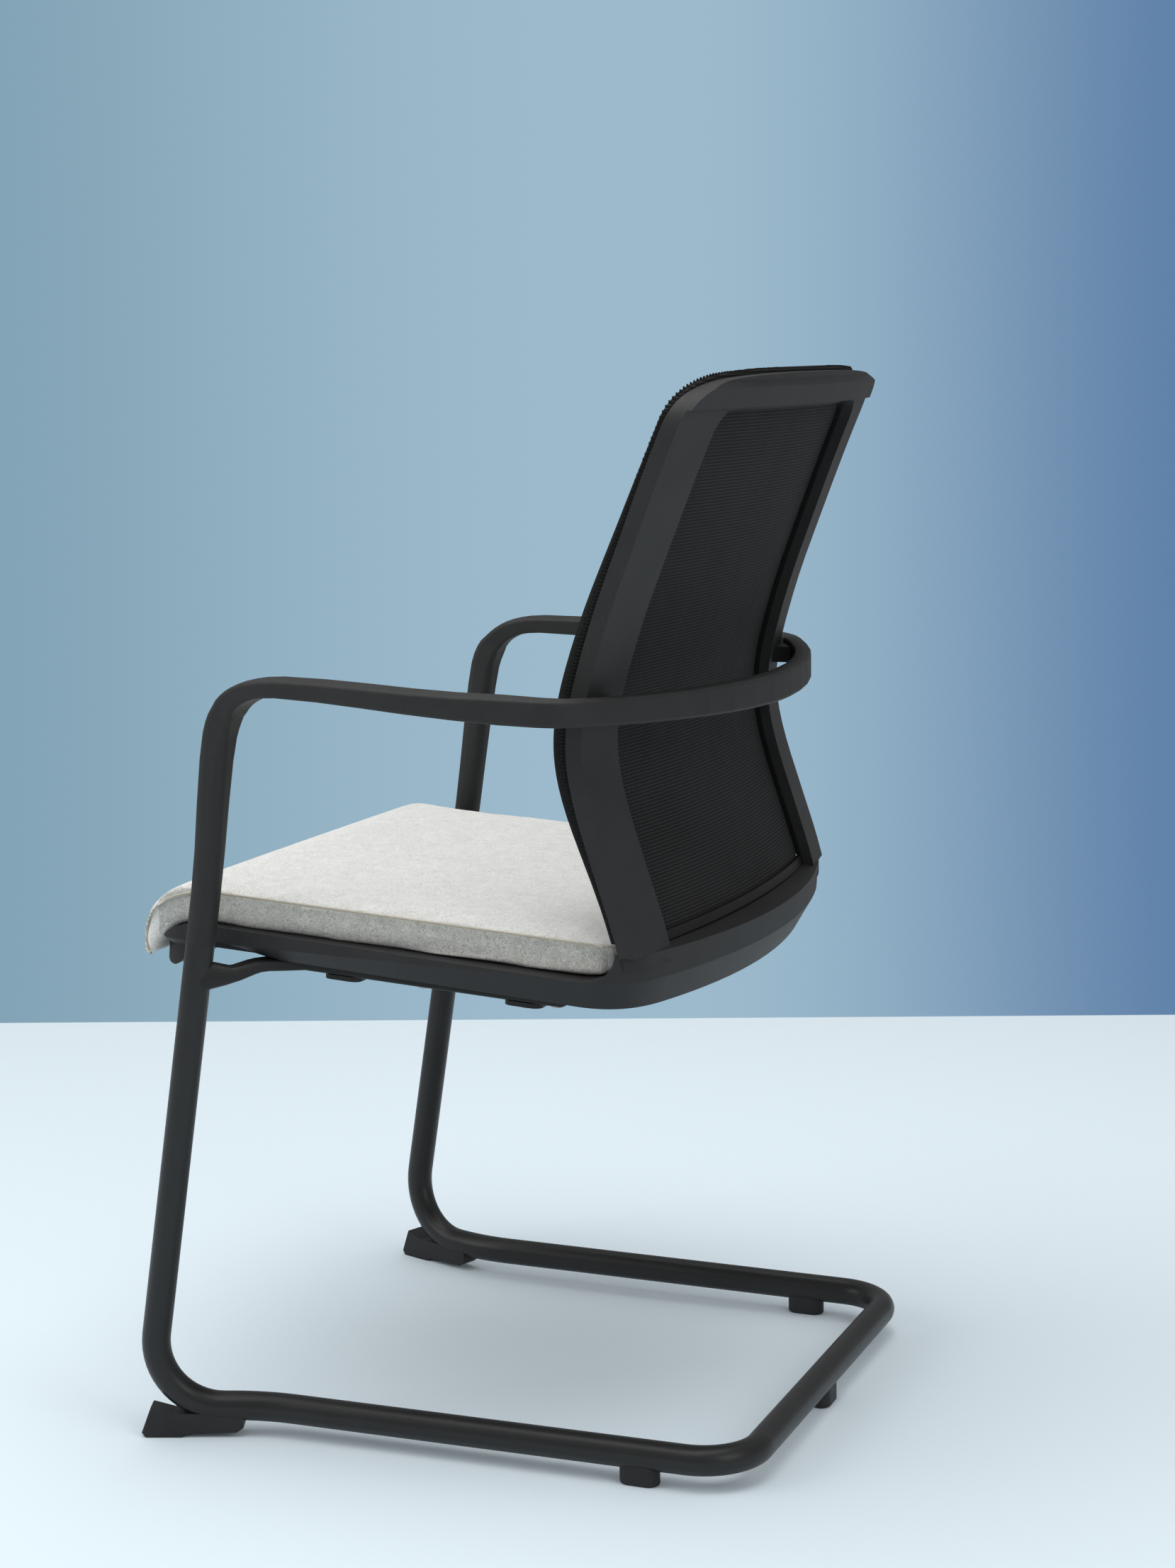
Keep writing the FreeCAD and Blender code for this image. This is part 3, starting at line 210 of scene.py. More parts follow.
def makeHardFinish(name, look):  # painted, moulded and plated finishes
    material, tree, shader, place = startMaterial(name)
    shader.inputs["Metallic"].default_value = look.get("metal", 0.0)
    shader.inputs["Specular IOR Level"].default_value = look.get("specular", 0.5)
    grain = useGroup(tree, grainGroup, {"Grain per metre": look["grain"], "Patch per metre": look.get("patches", 22.0)},
                     {"Vector": place.outputs["Object"]})
    tone = mixColours(tree, grain.outputs["Patches"], look["dark"], look["light"])
    speckled = mixColours(tree, rampNode(tree, grain.outputs["Height"], 0.42, 0.62, 0.0, look.get("speckle", 0.3)),
                          tone, look["speck"])
    # pale specks of painted top light on the faces that look up
    paintedLight = useGroup(tree, paintedTopLightGroup, {"Painted Light": look["paintedLight"] + (1.0,), "Amount": look["paintedLightAmount"]},
                    {"Vector": place.outputs["Object"], "Colour": speckled})
    tree.links.new(paintedLight.outputs["Colour"], shader.inputs["Base Color"])
    rough = rampNode(tree, grain.outputs["Height"], 0.3, 0.7, look["rough"][0], look["rough"][1])
    tree.links.new(rough, shader.inputs["Roughness"])
    bumpFrom(tree, shader, grain.outputs["Height"], look["bump"], look["depth"])
    return material


# each look also gives the colour and amount of the pale specks of painted top light on faces that look up
hardFinishes = {
    "base_coat": dict(dark=(0.011, 0.011, 0.011), light=(0.014, 0.014, 0.014), speck=(0.022, 0.022, 0.022),
                      grain=1500.0, rough=(0.32, 0.44), bump=0.12, depth=0.0003, paintedLight=(0.2, 0.2, 0.2),
                      paintedLightAmount=0.02, specular=0.34),
    "carrier_coat": dict(dark=(0.009, 0.009, 0.009), light=(0.012, 0.012, 0.012), speck=(0.02, 0.02, 0.02),
                         grain=1500.0, rough=(0.42, 0.55), bump=0.15, depth=0.0003, paintedLight=(0.2, 0.2, 0.2),
                         paintedLightAmount=0.02, specular=0.3),
    "frame_moulding": dict(dark=(0.012, 0.012, 0.012), light=(0.016, 0.016, 0.016), speck=(0.034, 0.034, 0.034),
                           grain=1900.0, rough=(0.50, 0.66), bump=0.3, depth=0.0004, paintedLight=(0.24, 0.24, 0.24),
                           paintedLightAmount=0.045, speckle=0.45, specular=0.32),
    "glide_plastic": dict(dark=(0.012, 0.012, 0.013), light=(0.017, 0.017, 0.018), speck=(0.03, 0.03, 0.03),
                          grain=1400.0, rough=(0.45, 0.6), bump=0.2, depth=0.0003, paintedLight=(0.25, 0.25, 0.25),
                          paintedLightAmount=0.03, specular=0.3),
    # block_plastic is a little darker than the frame coat: painted shade of the gap between strap and loop, over the
    # blocks' own black
    "block_plastic": dict(dark=(0.008, 0.008, 0.008), light=(0.011, 0.011, 0.011), speck=(0.02, 0.02, 0.02),
                          grain=1400.0, rough=(0.5, 0.62), bump=0.2, depth=0.0003, paintedLight=(0.2, 0.2, 0.2),
                          paintedLightAmount=0.02, specular=0.3),
    # ring_plastic is near-black, darker than the frame moulding: painted shade of the opening's inner wall and the
    # knit's shadow, over the ring's own black
    "ring_plastic": dict(dark=(0.004, 0.004, 0.004), light=(0.006, 0.006, 0.006), speck=(0.01, 0.01, 0.01),
                         grain=1600.0, rough=(0.4, 0.55), bump=0.1, depth=0.0002, paintedLight=(0.1, 0.1, 0.1),
                         paintedLightAmount=0.01, specular=0.22),
    "fastener_steel": dict(dark=(0.36, 0.36, 0.37), light=(0.46, 0.46, 0.46), speck=(0.55, 0.55, 0.54),
                           grain=900.0, rough=(0.28, 0.42), bump=0.08, depth=0.0002, paintedLight=(0.3, 0.3, 0.3),
                           paintedLightAmount=0.05, metal=1.0),
    "spigot_steel": dict(dark=(0.32, 0.32, 0.33), light=(0.4, 0.4, 0.4), speck=(0.5, 0.5, 0.5),
                         grain=900.0, rough=(0.35, 0.5), bump=0.1, depth=0.0002, paintedLight=(0.3, 0.3, 0.3),
                         paintedLightAmount=0.05, metal=1.0),
}


def makeBoardFinish():
    material, tree, shader, place = startMaterial("plywoodBoard")
    stretch = addNode(tree, "ShaderNodeMapping", {"Scale": (4.0, 60.0, 60.0)})
    tree.links.new(place.outputs["Object"], stretch.inputs["Vector"])
    rings = addNode(tree, "ShaderNodeTexNoise", {"Scale": 3.0, "Detail": 8.0, "Roughness": 0.6})
    tree.links.new(stretch.outputs[0], rings.inputs["Vector"])
    tree.links.new(mixColours(tree, rampNode(tree, rings.outputs[0], 0.3, 0.7), (0.42, 0.27, 0.15), (0.62, 0.45, 0.28)),
                   shader.inputs["Base Color"])
    shader.inputs["Roughness"].default_value = 0.7
    bumpFrom(tree, shader, rings.outputs[0], 0.2, 0.0005)
    return material


def makeFeltFinish(name, look):  # pale ground with darker and yellower fibres
    material, tree, shader, place = startMaterial(name)
    shader.inputs["Roughness"].default_value = 0.95
    shader.inputs["Specular IOR Level"].default_value = 0.15
    shader.inputs["Sheen Weight"].default_value = look["sheen"]
    shader.inputs["Sheen Roughness"].default_value = 0.6
    colour = look["ground"]
    ground = useGroup(tree, grainGroup, {"Grain per metre": 700.0, "Patch per metre": look["blotch"]},
                      {"Vector": place.outputs["Object"]})
    colour = mixColours(tree, ground.outputs["Patches"], look["ground"], look["ground2"])
    heights = []
    for index, (scale, width, tint, amount) in enumerate(look["fibres"]):
        turn = addNode(tree, "ShaderNodeMapping", {"Location": (0.37 * index, 0.71 * index, 0.13),
                                                   "Rotation": (0.4 * index, 0.3, 0.9 * index)})
        tree.links.new(place.outputs["Object"], turn.inputs["Vector"])
        fibre = useGroup(tree, fibreGroup, {"Fibres per metre": scale, "Width": width}, {"Vector": turn.outputs[0]})
        colour = mixColours(tree, mathNode(tree, "MULTIPLY", fibre.outputs["Lines"], amount), colour, tint)
        heights.append(fibre)
    tree.links.new(colour, shader.inputs["Base Color"])
    height = mathNode(tree, "ADD", mathNode(tree, "MULTIPLY", heights[0].outputs["Lines"], 0.5),
                      heights[0].outputs["Nap"])
    bumpFrom(tree, shader, height, look["bump"], 0.0009)
    return material


feltLooks = {
    "felt_top": dict(ground=(0.74, 0.74, 0.71), ground2=(0.82, 0.82, 0.80), blotch=70.0, sheen=0.08, bump=0.7,
                     fibres=[(330.0, 0.05, (0.93, 0.93, 0.91), 0.7), (300.0, 0.034, (0.24, 0.24, 0.235), 0.62),
                             (340.0, 0.028, (0.62, 0.55, 0.40), 0.5), (520.0, 0.05, (0.40, 0.40, 0.39), 0.42)]),
    "felt_side": dict(ground=(0.54, 0.54, 0.50), ground2=(0.68, 0.68, 0.64), blotch=95.0, sheen=0.08, bump=0.8,
                      fibres=[(330.0, 0.05, (0.88, 0.88, 0.85), 0.75), (290.0, 0.045, (0.16, 0.16, 0.155), 0.75),
                              (330.0, 0.03, (0.50, 0.43, 0.29), 0.6), (500.0, 0.055, (0.28, 0.28, 0.27), 0.5)]),
}


def makeWeltFinish():
    material, tree, shader, place = startMaterial("seamThread")
    twist = addNode(tree, "ShaderNodeTexWave", {"Scale": 260.0, "Distortion": 2.0, "Detail": 2.0})
    tree.links.new(place.outputs["Object"], twist.inputs["Vector"])
    tree.links.new(mixColours(tree, twist.outputs[1], (0.34, 0.31, 0.25), (0.62, 0.58, 0.49)),
                   shader.inputs["Base Color"])
    shader.inputs["Roughness"].default_value = 0.9
    bumpFrom(tree, shader, twist.outputs[1], 0.6, 0.0005)
    return material


def makeKnitFinish(name, look):
    material, tree, shader, place = startMaterial(name)
    shader.inputs["Roughness"].default_value = 0.85
    shader.inputs["Specular IOR Level"].default_value = 0.16
    shader.inputs["Sheen Weight"].default_value = look["sheen"]
    shader.inputs["Sheen Roughness"].default_value = 0.5
    knit = useGroup(tree, knitGroup, {"Across": look["across"], "Along": look["along"], "Dot": look["dot"]},
                    {"UV": place.outputs["UV"]})
    fuzz = useGroup(tree, fibreGroup, {"Fibres per metre": 500.0, "Width": 0.05}, {"Vector": place.outputs["Object"]})
    patch = useGroup(tree, grainGroup, {"Grain per metre": 1200.0, "Patch per metre": 16.0},
                     {"Vector": place.outputs["Object"]})
    ground = mixColours(tree, patch.outputs["Patches"], look["ground"], look["ground2"])
    dotted = mixColours(tree, mathNode(tree, "MULTIPLY", knit.outputs["Dots"], look["dotAmount"]), ground,
                        look["dotColour"])
    hairy = mixColours(tree, mathNode(tree, "MULTIPLY", fuzz.outputs["Lines"], 0.25), dotted, look["hair"])
    tree.links.new(hairy, shader.inputs["Base Color"])
    height = mathNode(tree, "ADD", knit.outputs["Height"], mathNode(tree, "MULTIPLY", fuzz.outputs["Nap"], look["nap"]))
    bumpFrom(tree, shader, height, look["bump"], 0.0012)
    return material


knitLooks = {
    "knit": dict(ground=(0.0045, 0.0045, 0.0045), ground2=(0.007, 0.007, 0.007), dotColour=(0.06, 0.06, 0.06),
                 hair=(0.02, 0.02, 0.02), across=0.0031, along=0.0029, dot=0.27, dotAmount=0.9, bump=0.35, nap=0.05,
                 sheen=0.02),
    "knitRib": dict(ground=(0.006, 0.006, 0.006), ground2=(0.009, 0.009, 0.009), dotColour=(0.03, 0.03, 0.03),
                    hair=(0.03, 0.03, 0.03), across=0.0016, along=0.0016, dot=0.4, dotAmount=0.5, bump=0.3, nap=0.2,
                    sheen=0.03),
}

finishes = {name: makeHardFinish(name, look) for name, look in hardFinishes.items()}
finishes["board"] = makeBoardFinish()
for name, look in feltLooks.items():
    finishes[name] = makeFeltFinish(name, look)
finishes["welt"] = makeWeltFinish()
for name, look in knitLooks.items():
    finishes[name] = makeKnitFinish(name, look)
print("materials:", len(finishes))


slotOf = {entry["node"]: entry["material_slot"] for entry in frame["record"]["subparts"]}
softNodes = ("seat_cover", "seat_border", "seat_foam", "seat_welt", "back_knit")
for name, piece in nodes.items():
    if name in softNodes:
        continue
    piece.data.materials.clear()
    piece.data.materials.append(finishes[slotOf[name]])
print("rigid pieces finished")


def newPiece(name, mesh, material):
    piece = bpy.data.objects.new(name, mesh)
    scene.collection.objects.link(piece)
    mesh.materials.clear()
    mesh.materials.append(material)
    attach(piece, "root")
    return piece


def smoothMeshFrom(bm, name):
    mesh = bpy.data.meshes.new(name)
    bmesh.ops.recalc_face_normals(bm, faces=bm.faces)
    bm.to_mesh(mesh)
    bm.free()
    mesh.polygons.foreach_set("use_smooth", [True] * len(mesh.polygons))
    return mesh


def evaluatedMesh(piece, name):
    mesh = bpy.data.meshes.new_from_object(piece.evaluated_get(bpy.context.evaluated_depsgraph_get()))
    mesh.name = name
    return mesh


# millimetres, apart from the counts and the rim's reaches in metres
backKnit = dict(halfWidth=257.0, base=457.2, middleBase=449.2, middleHalf=197.0, top=925.0, planRadius=1400.0,
                columns=150, rows=130, gather=0.93, inset=0.35, edgeRound=1.2, rearMapShift=0.6,
                rimMiddle=0.69, rimReach=(0.257, 0.235))
# the top outline is two cubic curves a side, given by their poles' distances
topOutline = dict(sideDrop=42.0, cornerDrop=18.0, turnIn=26.0, turnDrop=7.0, join=78.0, joinDrop=3.4, crownIn=140.0,
                  crownHalf=60.0, halvings=30)


def cubicAt(poles, t, axis):
    s = 1 - t
    return (s ** 3 * poles[0][axis] + 3 * s * s * t * poles[1][axis] + 3 * s * t * t * poles[2][axis]
            + t ** 3 * poles[3][axis])


def knitTopAt(x):
    half, top, look = backKnit["halfWidth"], backKnit["top"], topOutline
    joined = (half - look["join"], top - look["joinDrop"])
    corner = [(half, top - look["sideDrop"]), (half, top - look["cornerDrop"]),
              (half - look["turnIn"], top - look["turnDrop"]), joined]
    crown = [joined, (half - look["crownIn"], top), (look["crownHalf"], top), (0.0, top)]
    poles = corner if abs(x) > joined[0] else crown
    low, high = 0.0, 1.0
    for step in range(look["halvings"]):
        t = (low + high) / 2
        if cubicAt(poles, t, 0) > abs(x):
            low = t
        else:
            high = t
    return cubicAt(poles, (low + high) / 2, 1)


def faceOf(tree, x, z, fromFront):  # where a line along Y meets the CAD knit
    start, way = (-1, 1) if fromFront else (1, -1)
    return tree.ray_cast(Vector((x * mm, start, z * mm)), Vector((0, way, 0)))[0]


def rimOutward(place):
    across, height = backKnit["rimReach"]
    up = place.z - backKnit["rimMiddle"]
    if abs(place.x) / across > abs(up) / height:
        return Vector((math.copysign(1, place.x), 0, 0))
    return Vector((0, 0, math.copysign(1, up)))


def makeBackKnit():
    tree = BVHTree.FromObject(nodes["back_knit"], bpy.context.evaluated_depsgraph_get())
    half, inset = backKnit["halfWidth"], backKnit["inset"]
    columns, rows = backKnit["columns"], backKnit["rows"]
    quarter = math.pi / 2 * backKnit["gather"]
    bm = bmesh.new()
    uvLayer = bm.loops.layers.uv.new("knitMap")
    places = {}
    grid = {"front": [], "rear": []}
    for i in range(columns + 1):
        x = (half - inset) * math.sin((i / columns * 2 - 1) * quarter) / math.sin(quarter)  # closer at the sides
        base = backKnit["middleBase"] if abs(x) < backKnit["middleHalf"] else backKnit["base"]
        top = knitTopAt(x) - inset
        along = math.asin(x / backKnit["planRadius"]) * backKnit["planRadius"] * mm
        for side, fromFront, shift in (("front", True, 0.0), ("rear", False, backKnit["rearMapShift"])):
            column = []
            for j in range(rows + 1):
                z = base + inset + (top - base - inset) * j / rows
                column.append(bm.verts.new(faceOf(tree, x, z, fromFront)))
                places[column[-1]] = (along + shift, z * mm)
            grid[side].append(column)
    for side, flip in (("front", False), ("rear", True)):
        g = grid[side]
        for i in range(columns):
            for j in range(rows):
                corners = [g[i][j], g[i + 1][j], g[i + 1][j + 1], g[i][j + 1]]
                bm.faces.new(corners[::-1] if flip else corners)
    front, rear = grid["front"], grid["rear"]
    loop = [(front[i][0], rear[i][0]) for i in range(columns + 1)]
    loop += [(front[columns][j], rear[columns][j]) for j in range(1, rows + 1)]
    loop += [(front[i][rows], rear[i][rows]) for i in range(columns - 1, -1, -1)]
    loop += [(front[0][j], rear[0][j]) for j in range(rows - 1, 0, -1)]
    loop.append(loop[0])
    middles = []  # a rounded rim joins the two faces
    for near, far in loop:
        middle = bm.verts.new((near.co + far.co) / 2 + rimOutward(near.co) * backKnit["edgeRound"] * mm)
        places[middle] = places[near]
        middles.append(middle)
    for k in range(len(loop) - 1):
        bm.faces.new([loop[k][0], loop[k + 1][0], middles[k + 1], middles[k]])
        bm.faces.new([middles[k], middles[k + 1], loop[k + 1][1], loop[k][1]])
    bmesh.ops.remove_doubles(bm, verts=bm.verts, dist=0.00001)
    places = {vert: place for vert, place in places.items() if vert.is_valid}
    for face in bm.faces:
        for corner in face.loops:
            corner[uvLayer].uv = places.get(corner.vert, (corner.vert.co.x, corner.vert.co.z))
    mesh = smoothMeshFrom(bm, "backKnit")
    piece = newPiece("backKnit", mesh, finishes["knit"])
    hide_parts("back_knit")
    return piece, tree


# millimetres, apart from the seed and the count
knitRibs = dict(pitch=4.6, width=3.4, thickness=7.4, height=2.6, seed=4, inset=0.6, lowest=459.0, corner=882.0,
                sideSteps=60)


def newGeometryGroup(name, inputs):
    group = bpy.data.node_groups.new(name, "GeometryNodeTree")
    group.interface.new_socket(name="Geometry", in_out="INPUT", socket_type="NodeSocketGeometry")
    for label, kind, value in inputs:
        socket = group.interface.new_socket(name=label, in_out="INPUT", socket_type=kind)
        if value is not None:
            socket.default_value = value
    group.interface.new_socket(name="Geometry", in_out="OUTPUT", socket_type="NodeSocketGeometry")
    return group, group.nodes.new("NodeGroupInput"), group.nodes.new("NodeGroupOutput")


def socketId(group, label):
    for item in group.interface.items_tree:
        if item.item_type == "SOCKET" and item.in_out == "INPUT" and item.name == label:
            return item.identifier
    raise KeyError(label)


def runTree(group, source, values):
    modifier = source.modifiers.new("build", "NODES")
    modifier.node_group = group
    for label, value in values.items():
        modifier[socketId(group, label)] = value
    mesh = evaluatedMesh(source, source.name + "Mesh")
    bpy.data.objects.remove(source)
    return mesh


def makeRibTree(material):
    group, start, end = newGeometryGroup("edgeRibs", [
        ("Pitch", "NodeSocketFloat", 0.0046), ("Rib Size", "NodeSocketVector", (0.0034, 0.0074, 0.0026)),
        ("Seed", "NodeSocketInt", 4)])
    resample = addNode(group, "GeometryNodeResampleCurve", mode="LENGTH")
    group.links.new(start.outputs["Geometry"], resample.inputs["Curve"])
    group.links.new(start.outputs["Pitch"], resample.inputs["Length"])
    bead = addNode(group, "GeometryNodeMeshUVSphere", {"Segments": 10, "Rings": 7, "Radius": 0.5})
    tangent = addNode(group, "GeometryNodeInputTangent")
    align = addNode(group, "FunctionNodeAlignRotationToVector", axis="X")
    group.links.new(tangent.outputs[0], align.inputs["Vector"])
    wobble = addNode(group, "FunctionNodeRandomValue", data_type="FLOAT_VECTOR")
    wobble.inputs[0].default_value = (0.92, 0.92, 0.85)
    wobble.inputs[1].default_value = (1.06, 1.06, 1.12)
    group.links.new(start.outputs["Seed"], wobble.inputs["Seed"])
    size = addNode(group, "ShaderNodeVectorMath", operation="MULTIPLY")
    group.links.new(start.outputs["Rib Size"], size.inputs[0])
    group.links.new(wobble.outputs[0], size.inputs[1])
    place = addNode(group, "GeometryNodeInstanceOnPoints")
    group.links.new(resample.outputs[0], place.inputs["Points"])
    group.links.new(bead.outputs[0], place.inputs["Instance"])
    group.links.new(align.outputs[0], place.inputs["Rotation"])
    group.links.new(size.outputs[0], place.inputs["Scale"])
    realize = addNode(group, "GeometryNodeRealizeInstances")
    group.links.new(place.outputs[0], realize.inputs[0])
    smooth = addNode(group, "GeometryNodeSetShadeSmooth")
    group.links.new(realize.outputs[0], smooth.inputs[0])
    paint = addNode(group, "GeometryNodeSetMaterial")
    paint.inputs["Material"].default_value = material
    group.links.new(smooth.outputs[0], paint.inputs[0])
    group.links.new(paint.outputs[0], end.inputs[0])
    return group


def curveThrough(name, points):
    data = bpy.data.curves.new(name, "CURVE")
    data.dimensions = "3D"
    spline = data.splines.new("POLY")
    spline.points.add(len(points) - 1)
    for point, place in zip(spline.points, points):
        point.co = (*place, 1.0)
    curve = bpy.data.objects.new(name, data)
    scene.collection.objects.link(curve)
    return curve


def makeKnitRibs(tree):
    reach = backKnit["halfWidth"] - knitRibs["inset"]
    steps, lowest, corner = knitRibs["sideSteps"], knitRibs["lowest"], knitRibs["corner"]
    heights = [lowest + (corner - lowest) * k / (steps - 1) for k in range(steps)]
    line = [(reach, z) for z in heights]
    for k in range(1, 2 * steps):
        x = reach * math.cos(math.pi / 2 * k / steps)
        line.append((x, knitTopAt(x) - knitRibs["inset"]))
    line += [(-reach, z) for z in reversed(heights)]
    points = [(faceOf(tree, x, z, True) + faceOf(tree, x, z, False)) / 2 for x, z in line]
    group = makeRibTree(finishes["knitRib"])
    size = (knitRibs["width"] * mm, knitRibs["thickness"] * mm, knitRibs["height"] * mm)
    mesh = runTree(group, curveThrough("ribPath", points),
                   {"Pitch": knitRibs["pitch"] * mm, "Rib Size": size, "Seed": knitRibs["seed"]})
    return newPiece("knitRibs", mesh, finishes["knitRib"])


knitPiece, knitTree = makeBackKnit()
ribPiece = makeKnitRibs(knitTree)
print("back knit made")


seatPad = dict(voxel=5.5, smooth=2, pressure=4.0, stiffness=15, frames=20, cap=3.0, restsBelow=0.437)
# the darker side band, in metres: height above the sloping seat plane and the sides where it shows
sideBand = dict(planeHeight=0.4335, slope=3.57, height=0.0285, side=0.2385, rear=0.160, front=-0.262)


def joinedCopy(names, name):
    bm = bmesh.new()
    for nodeName in names:
        bm.from_mesh(nodes[nodeName].data)
    bmesh.ops.remove_doubles(bm, verts=bm.verts, dist=0.00002)
    return smoothMeshFrom(bm, name)


def makeCushion():
    mesh = joinedCopy(("seat_cover", "seat_border", "seat_foam"), "seatCushion")
    cushion = newPiece("seatCushion", mesh, finishes["felt_top"])
    bpy.context.view_layer.objects.active = cushion
    remesh = cushion.modifiers.new("remesh", "REMESH")
    remesh.mode = "VOXEL"
    remesh.voxel_size = seatPad["voxel"] * mm
    remesh.use_smooth_shade = True
    relax = cushion.modifiers.new("relax", "SMOOTH")
    relax.iterations = seatPad["smooth"]
    relax.factor = 0.5
    shaped = evaluatedMesh(cushion, "seatCushion")
    cushion.modifiers.clear()
    cushion.data = shaped
    rest = [v.co.copy() for v in shaped.vertices]
    cloth = cushion.modifiers.new("cloth", "CLOTH")
    cloth.settings.use_pressure = True
    cloth.settings.uniform_pressure_force = seatPad["pressure"]
    cloth.settings.effector_weights.gravity = 0
    cloth.settings.tension_stiffness = seatPad["stiffness"]
    cloth.settings.compression_stiffness = seatPad["stiffness"]
    for step in range(1, seatPad["frames"] + 1):
        scene.frame_set(step)
    swollen = evaluatedMesh(cushion, "seatCushion")
    cushion.modifiers.clear()
    cap = seatPad["cap"] * mm
    for vert, before in zip(swollen.vertices, rest):
        move = vert.co - before
        if move.length > cap:
            move *= cap / move.length
        vert.co = before if before.z < seatPad["restsBelow"] else before + move
    cushion.data = swollen
    scene.frame_set(1)
    finer = cushion.modifiers.new("finer", "SUBSURF")
    finer.levels = finer.render_levels = 1
    done = evaluatedMesh(cushion, "seatCushion")
    cushion.modifiers.clear()
    cushion.data = done
    done.polygons.foreach_set("use_smooth", [True] * len(done.polygons))
    done.materials.clear()
    done.materials.append(finishes["felt_top"])
    done.materials.append(finishes["felt_side"])
    slope = math.tan(math.radians(sideBand["slope"]))
    for face in done.polygons:
        x, y, z = face.center
        outside = abs(x) > sideBand["side"] or y > sideBand["rear"]
        if outside and z - sideBand["planeHeight"] + y * slope < sideBand["height"] and y > sideBand["front"]:
            face.material_index = 1
    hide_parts("seat_cover", "seat_border", "seat_foam")
    return cushion


cushionPiece = makeCushion()
print("cushion made")


def makeWelt():
    mesh = joinedCopy(("seat_welt",), "seatSeam")
    piece = newPiece("seatSeam", mesh, finishes["welt"])
    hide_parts("seat_welt")
    return piece


weltPiece = makeWelt()
print("seam made")


stageLook = dict(floorColour=(0.67, 0.755, 0.80), fill=0.66, reflected=0.30, fillColour=(0.95, 0.97, 1.0, 1),
                 floorRadius=30.0, near=1.9, far=3.4, wallGap=1.42, lineWidth=0.006,
                 leftTurn=(-0.25, 0.0), rightTurn=(0.03, 0.22),
                 # wallLeft and wallRight carry the painted shade at the wall's sides
                 wallLeft=(0.21, 0.35, 0.445), wallMiddle=(0.335, 0.49, 0.60), wallRight=(0.105, 0.205, 0.385))
camera = dict(place=(2.51445, 1.02921, 0.95086), yaw=-158.692, pitch=4.013, roll=-0.402, focal=4223.46, shift=-0.15)
viewAlong = Vector((math.cos(math.radians(camera["yaw"])), math.sin(math.radians(camera["yaw"])), 0))
viewRight = Vector((viewAlong.y, -viewAlong.x, 0))


def dotWith(tree, source, direction):
    node = addNode(tree, "ShaderNodeVectorMath", operation="DOT_PRODUCT")
    tree.links.new(source, node.inputs[0])
    node.inputs[1].default_value = tuple(direction)
    return node.outputs["Value"]


def makeFloor():  # it stops in a straight line behind the chair and fades out elsewhere
    bm = bmesh.new()
    bmesh.ops.create_circle(bm, cap_ends=True, radius=stageLook["floorRadius"], segments=96)
    mesh = bpy.data.meshes.new("floor")
    bm.to_mesh(mesh)
    bm.free()
    floor = bpy.data.objects.new("floor", mesh)
    scene.collection.objects.link(floor)
    material, tree, shader, place = startMaterial("paleFloor")
    shader.inputs["Base Color"].default_value = stageLook["floorColour"] + (1.0,)
    shader.inputs["Roughness"].default_value = 0.85
    shader.inputs["Specular IOR Level"].default_value = 0.1
    gone = addNode(tree, "ShaderNodeBsdfTransparent")
    away = addNode(tree, "ShaderNodeVectorMath", operation="LENGTH")
    tree.links.new(place.outputs["Object"], away.inputs[0])
    fade = rampNode(tree, away.outputs["Value"], stageLook["near"], stageLook["far"])
    behind = dotWith(tree, place.outputs["Object"], viewAlong)
    line = rampNode(tree, behind, stageLook["wallGap"], stageLook["wallGap"] + stageLook["lineWidth"])
    mixed = addNode(tree, "ShaderNodeMixShader")
    tree.links.new(mathNode(tree, "MAXIMUM", fade, line), mixed.inputs[0])
    tree.links.new(shader.outputs[0], mixed.inputs[1])
    tree.links.new(gone.outputs[0], mixed.inputs[2])
    output = next(n for n in tree.nodes if n.type == "OUTPUT_MATERIAL")
    tree.links.new(mixed.outputs[0], output.inputs[0])
    mesh.materials.append(material)


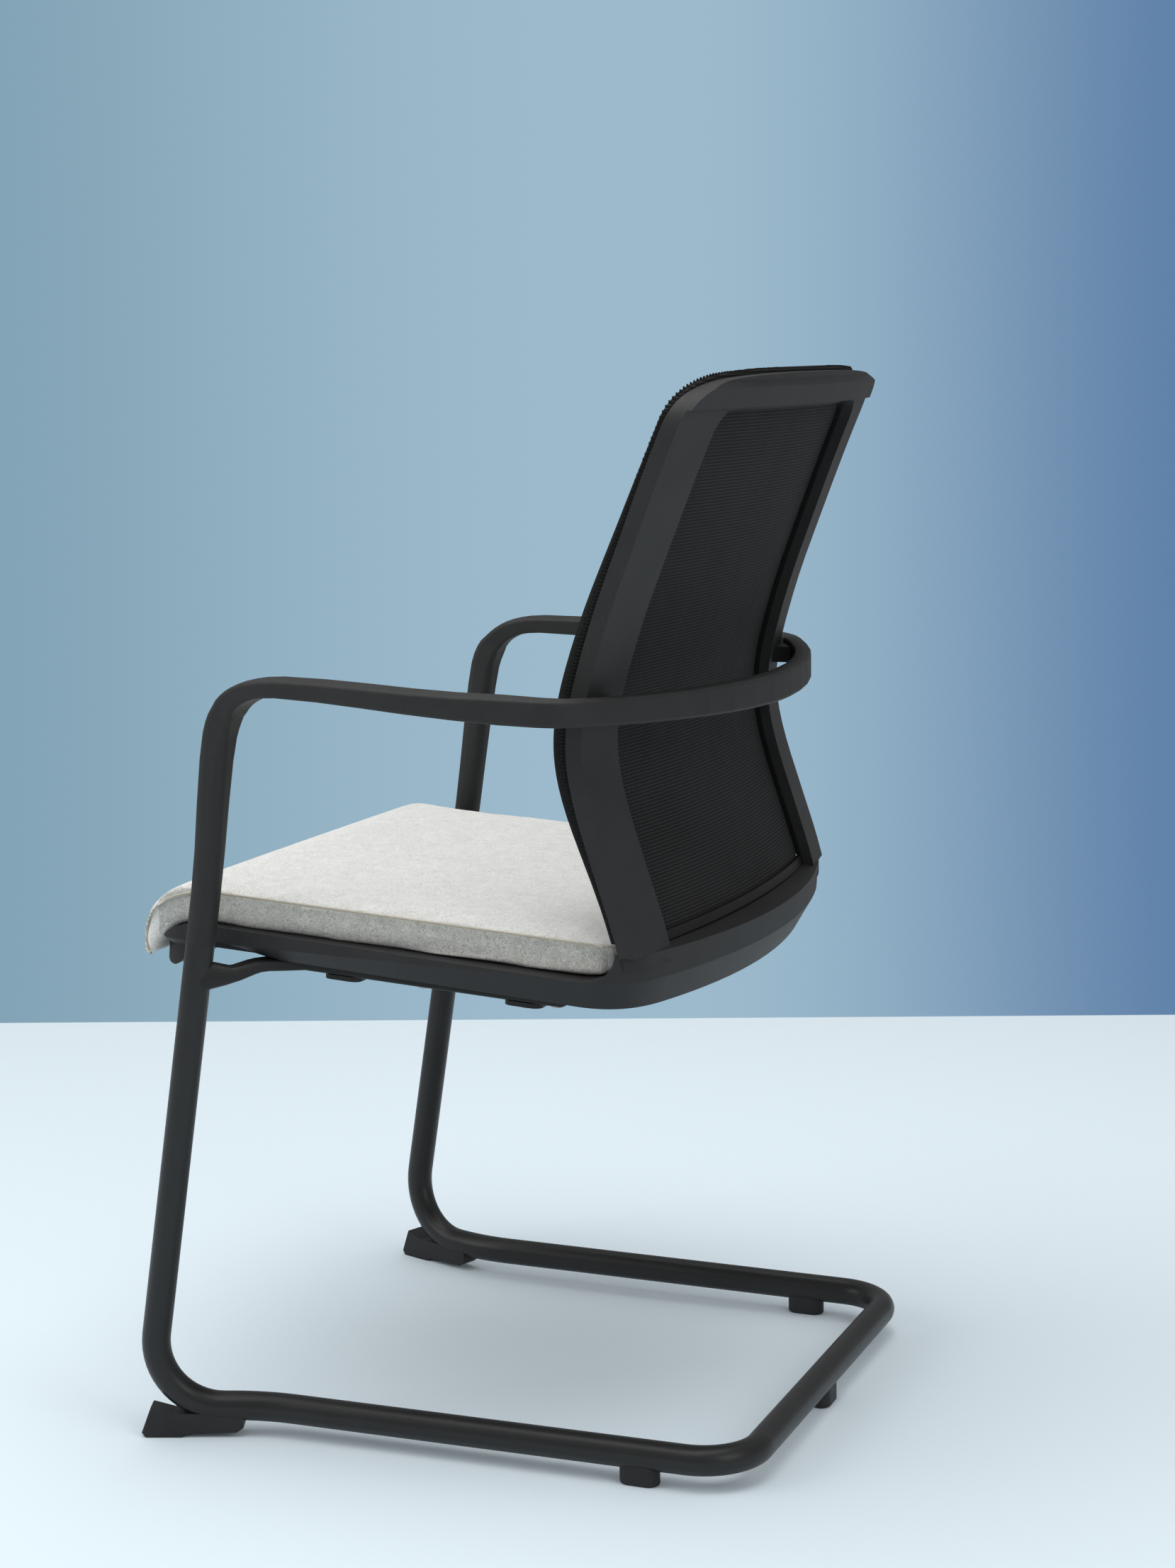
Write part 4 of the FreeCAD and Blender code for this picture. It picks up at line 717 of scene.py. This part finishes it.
def makeWorld():  # the wall is a blue that only the camera sees, darker at both sides with painted shade
    world = bpy.data.worlds.new("studio")
    scene.world = world
    world.use_nodes = True
    tree = world.node_tree
    tree.nodes.clear()
    place = addNode(tree, "ShaderNodeTexCoord")
    across = dotWith(tree, place.outputs["Generated"], viewRight)
    left = rampNode(tree, across, *stageLook["leftTurn"])
    right = rampNode(tree, across, *stageLook["rightTurn"])
    wall = mixColours(tree, left, stageLook["wallLeft"], stageLook["wallMiddle"])
    wall = mixColours(tree, right, wall, stageLook["wallRight"])
    light, dim = (addNode(tree, "ShaderNodeBackground",
                          {"Color": stageLook["fillColour"], "Strength": stageLook[key]})
                  for key in ("fill", "reflected"))
    seen = addNode(tree, "ShaderNodeBackground", {"Strength": 1.0})
    tree.links.new(wall, seen.inputs["Color"])
    path = addNode(tree, "ShaderNodeLightPath")
    soft = addNode(tree, "ShaderNodeMixShader")
    tree.links.new(path.outputs["Is Glossy Ray"], soft.inputs[0])
    tree.links.new(light.outputs[0], soft.inputs[1])
    tree.links.new(dim.outputs[0], soft.inputs[2])
    mixed = addNode(tree, "ShaderNodeMixShader")
    output = addNode(tree, "ShaderNodeOutputWorld")
    tree.links.new(path.outputs["Is Camera Ray"], mixed.inputs[0])
    tree.links.new(soft.outputs[0], mixed.inputs[1])
    tree.links.new(seen.outputs[0], mixed.inputs[2])
    tree.links.new(mixed.outputs[0], output.inputs[0])


lamps = {
    "overhead": dict(place=(0.3, -0.2, 2.9), aim=(0, 0, 0.4), size=(2.6, 2.6), power=50.0),
    "frontSide": dict(place=(1.6, -2.6, 1.9), aim=(0, 0, 0.45), size=(1.8, 1.8), power=26.0),
    "rearSide": dict(place=(1.5, 2.8, 1.9), aim=(0, 0.1, 0.6), size=(1.6, 2.0), power=22.0),
}


def makeLamps():
    for name, look in lamps.items():
        data = bpy.data.lights.new(name, "AREA")
        data.shape = "RECTANGLE"
        data.size, data.size_y = look["size"]
        data.energy = look["power"]
        lamp = bpy.data.objects.new(name, data)
        lamp.location = look["place"]
        way = Vector(look["aim"]) - Vector(look["place"])
        lamp.rotation_euler = way.to_track_quat("-Z", "Y").to_euler()
        scene.collection.objects.link(lamp)


def makeCamera():
    yaw, pitch, roll = (math.radians(camera[k]) for k in ("yaw", "pitch", "roll"))
    ahead = Vector((math.cos(yaw) * math.cos(pitch), math.sin(yaw) * math.cos(pitch), -math.sin(pitch)))
    right = Vector((math.sin(yaw), -math.cos(yaw), 0))
    up = right.cross(ahead)
    turnedRight = right * math.cos(roll) + up * math.sin(roll)
    turnedUp = up * math.cos(roll) - right * math.sin(roll)
    data = bpy.data.cameras.new("photoCamera")
    data.sensor_width = 36.0
    data.lens = camera["focal"] / 2212 * 36.0
    data.shift_y = camera["shift"]
    data.clip_start = 0.05
    data.clip_end = 100.0
    eye = bpy.data.objects.new("photoCamera", data)
    turn = Matrix((turnedRight, turnedUp, -ahead)).transposed()
    eye.matrix_world = Matrix.Translation(Vector(camera["place"])) @ turn.to_4x4()
    scene.collection.objects.link(eye)
    scene.camera = eye


makeFloor()
makeWorld()
makeLamps()
makeCamera()
scene.view_settings.view_transform = "Standard"
print("stage, lamps and camera made")
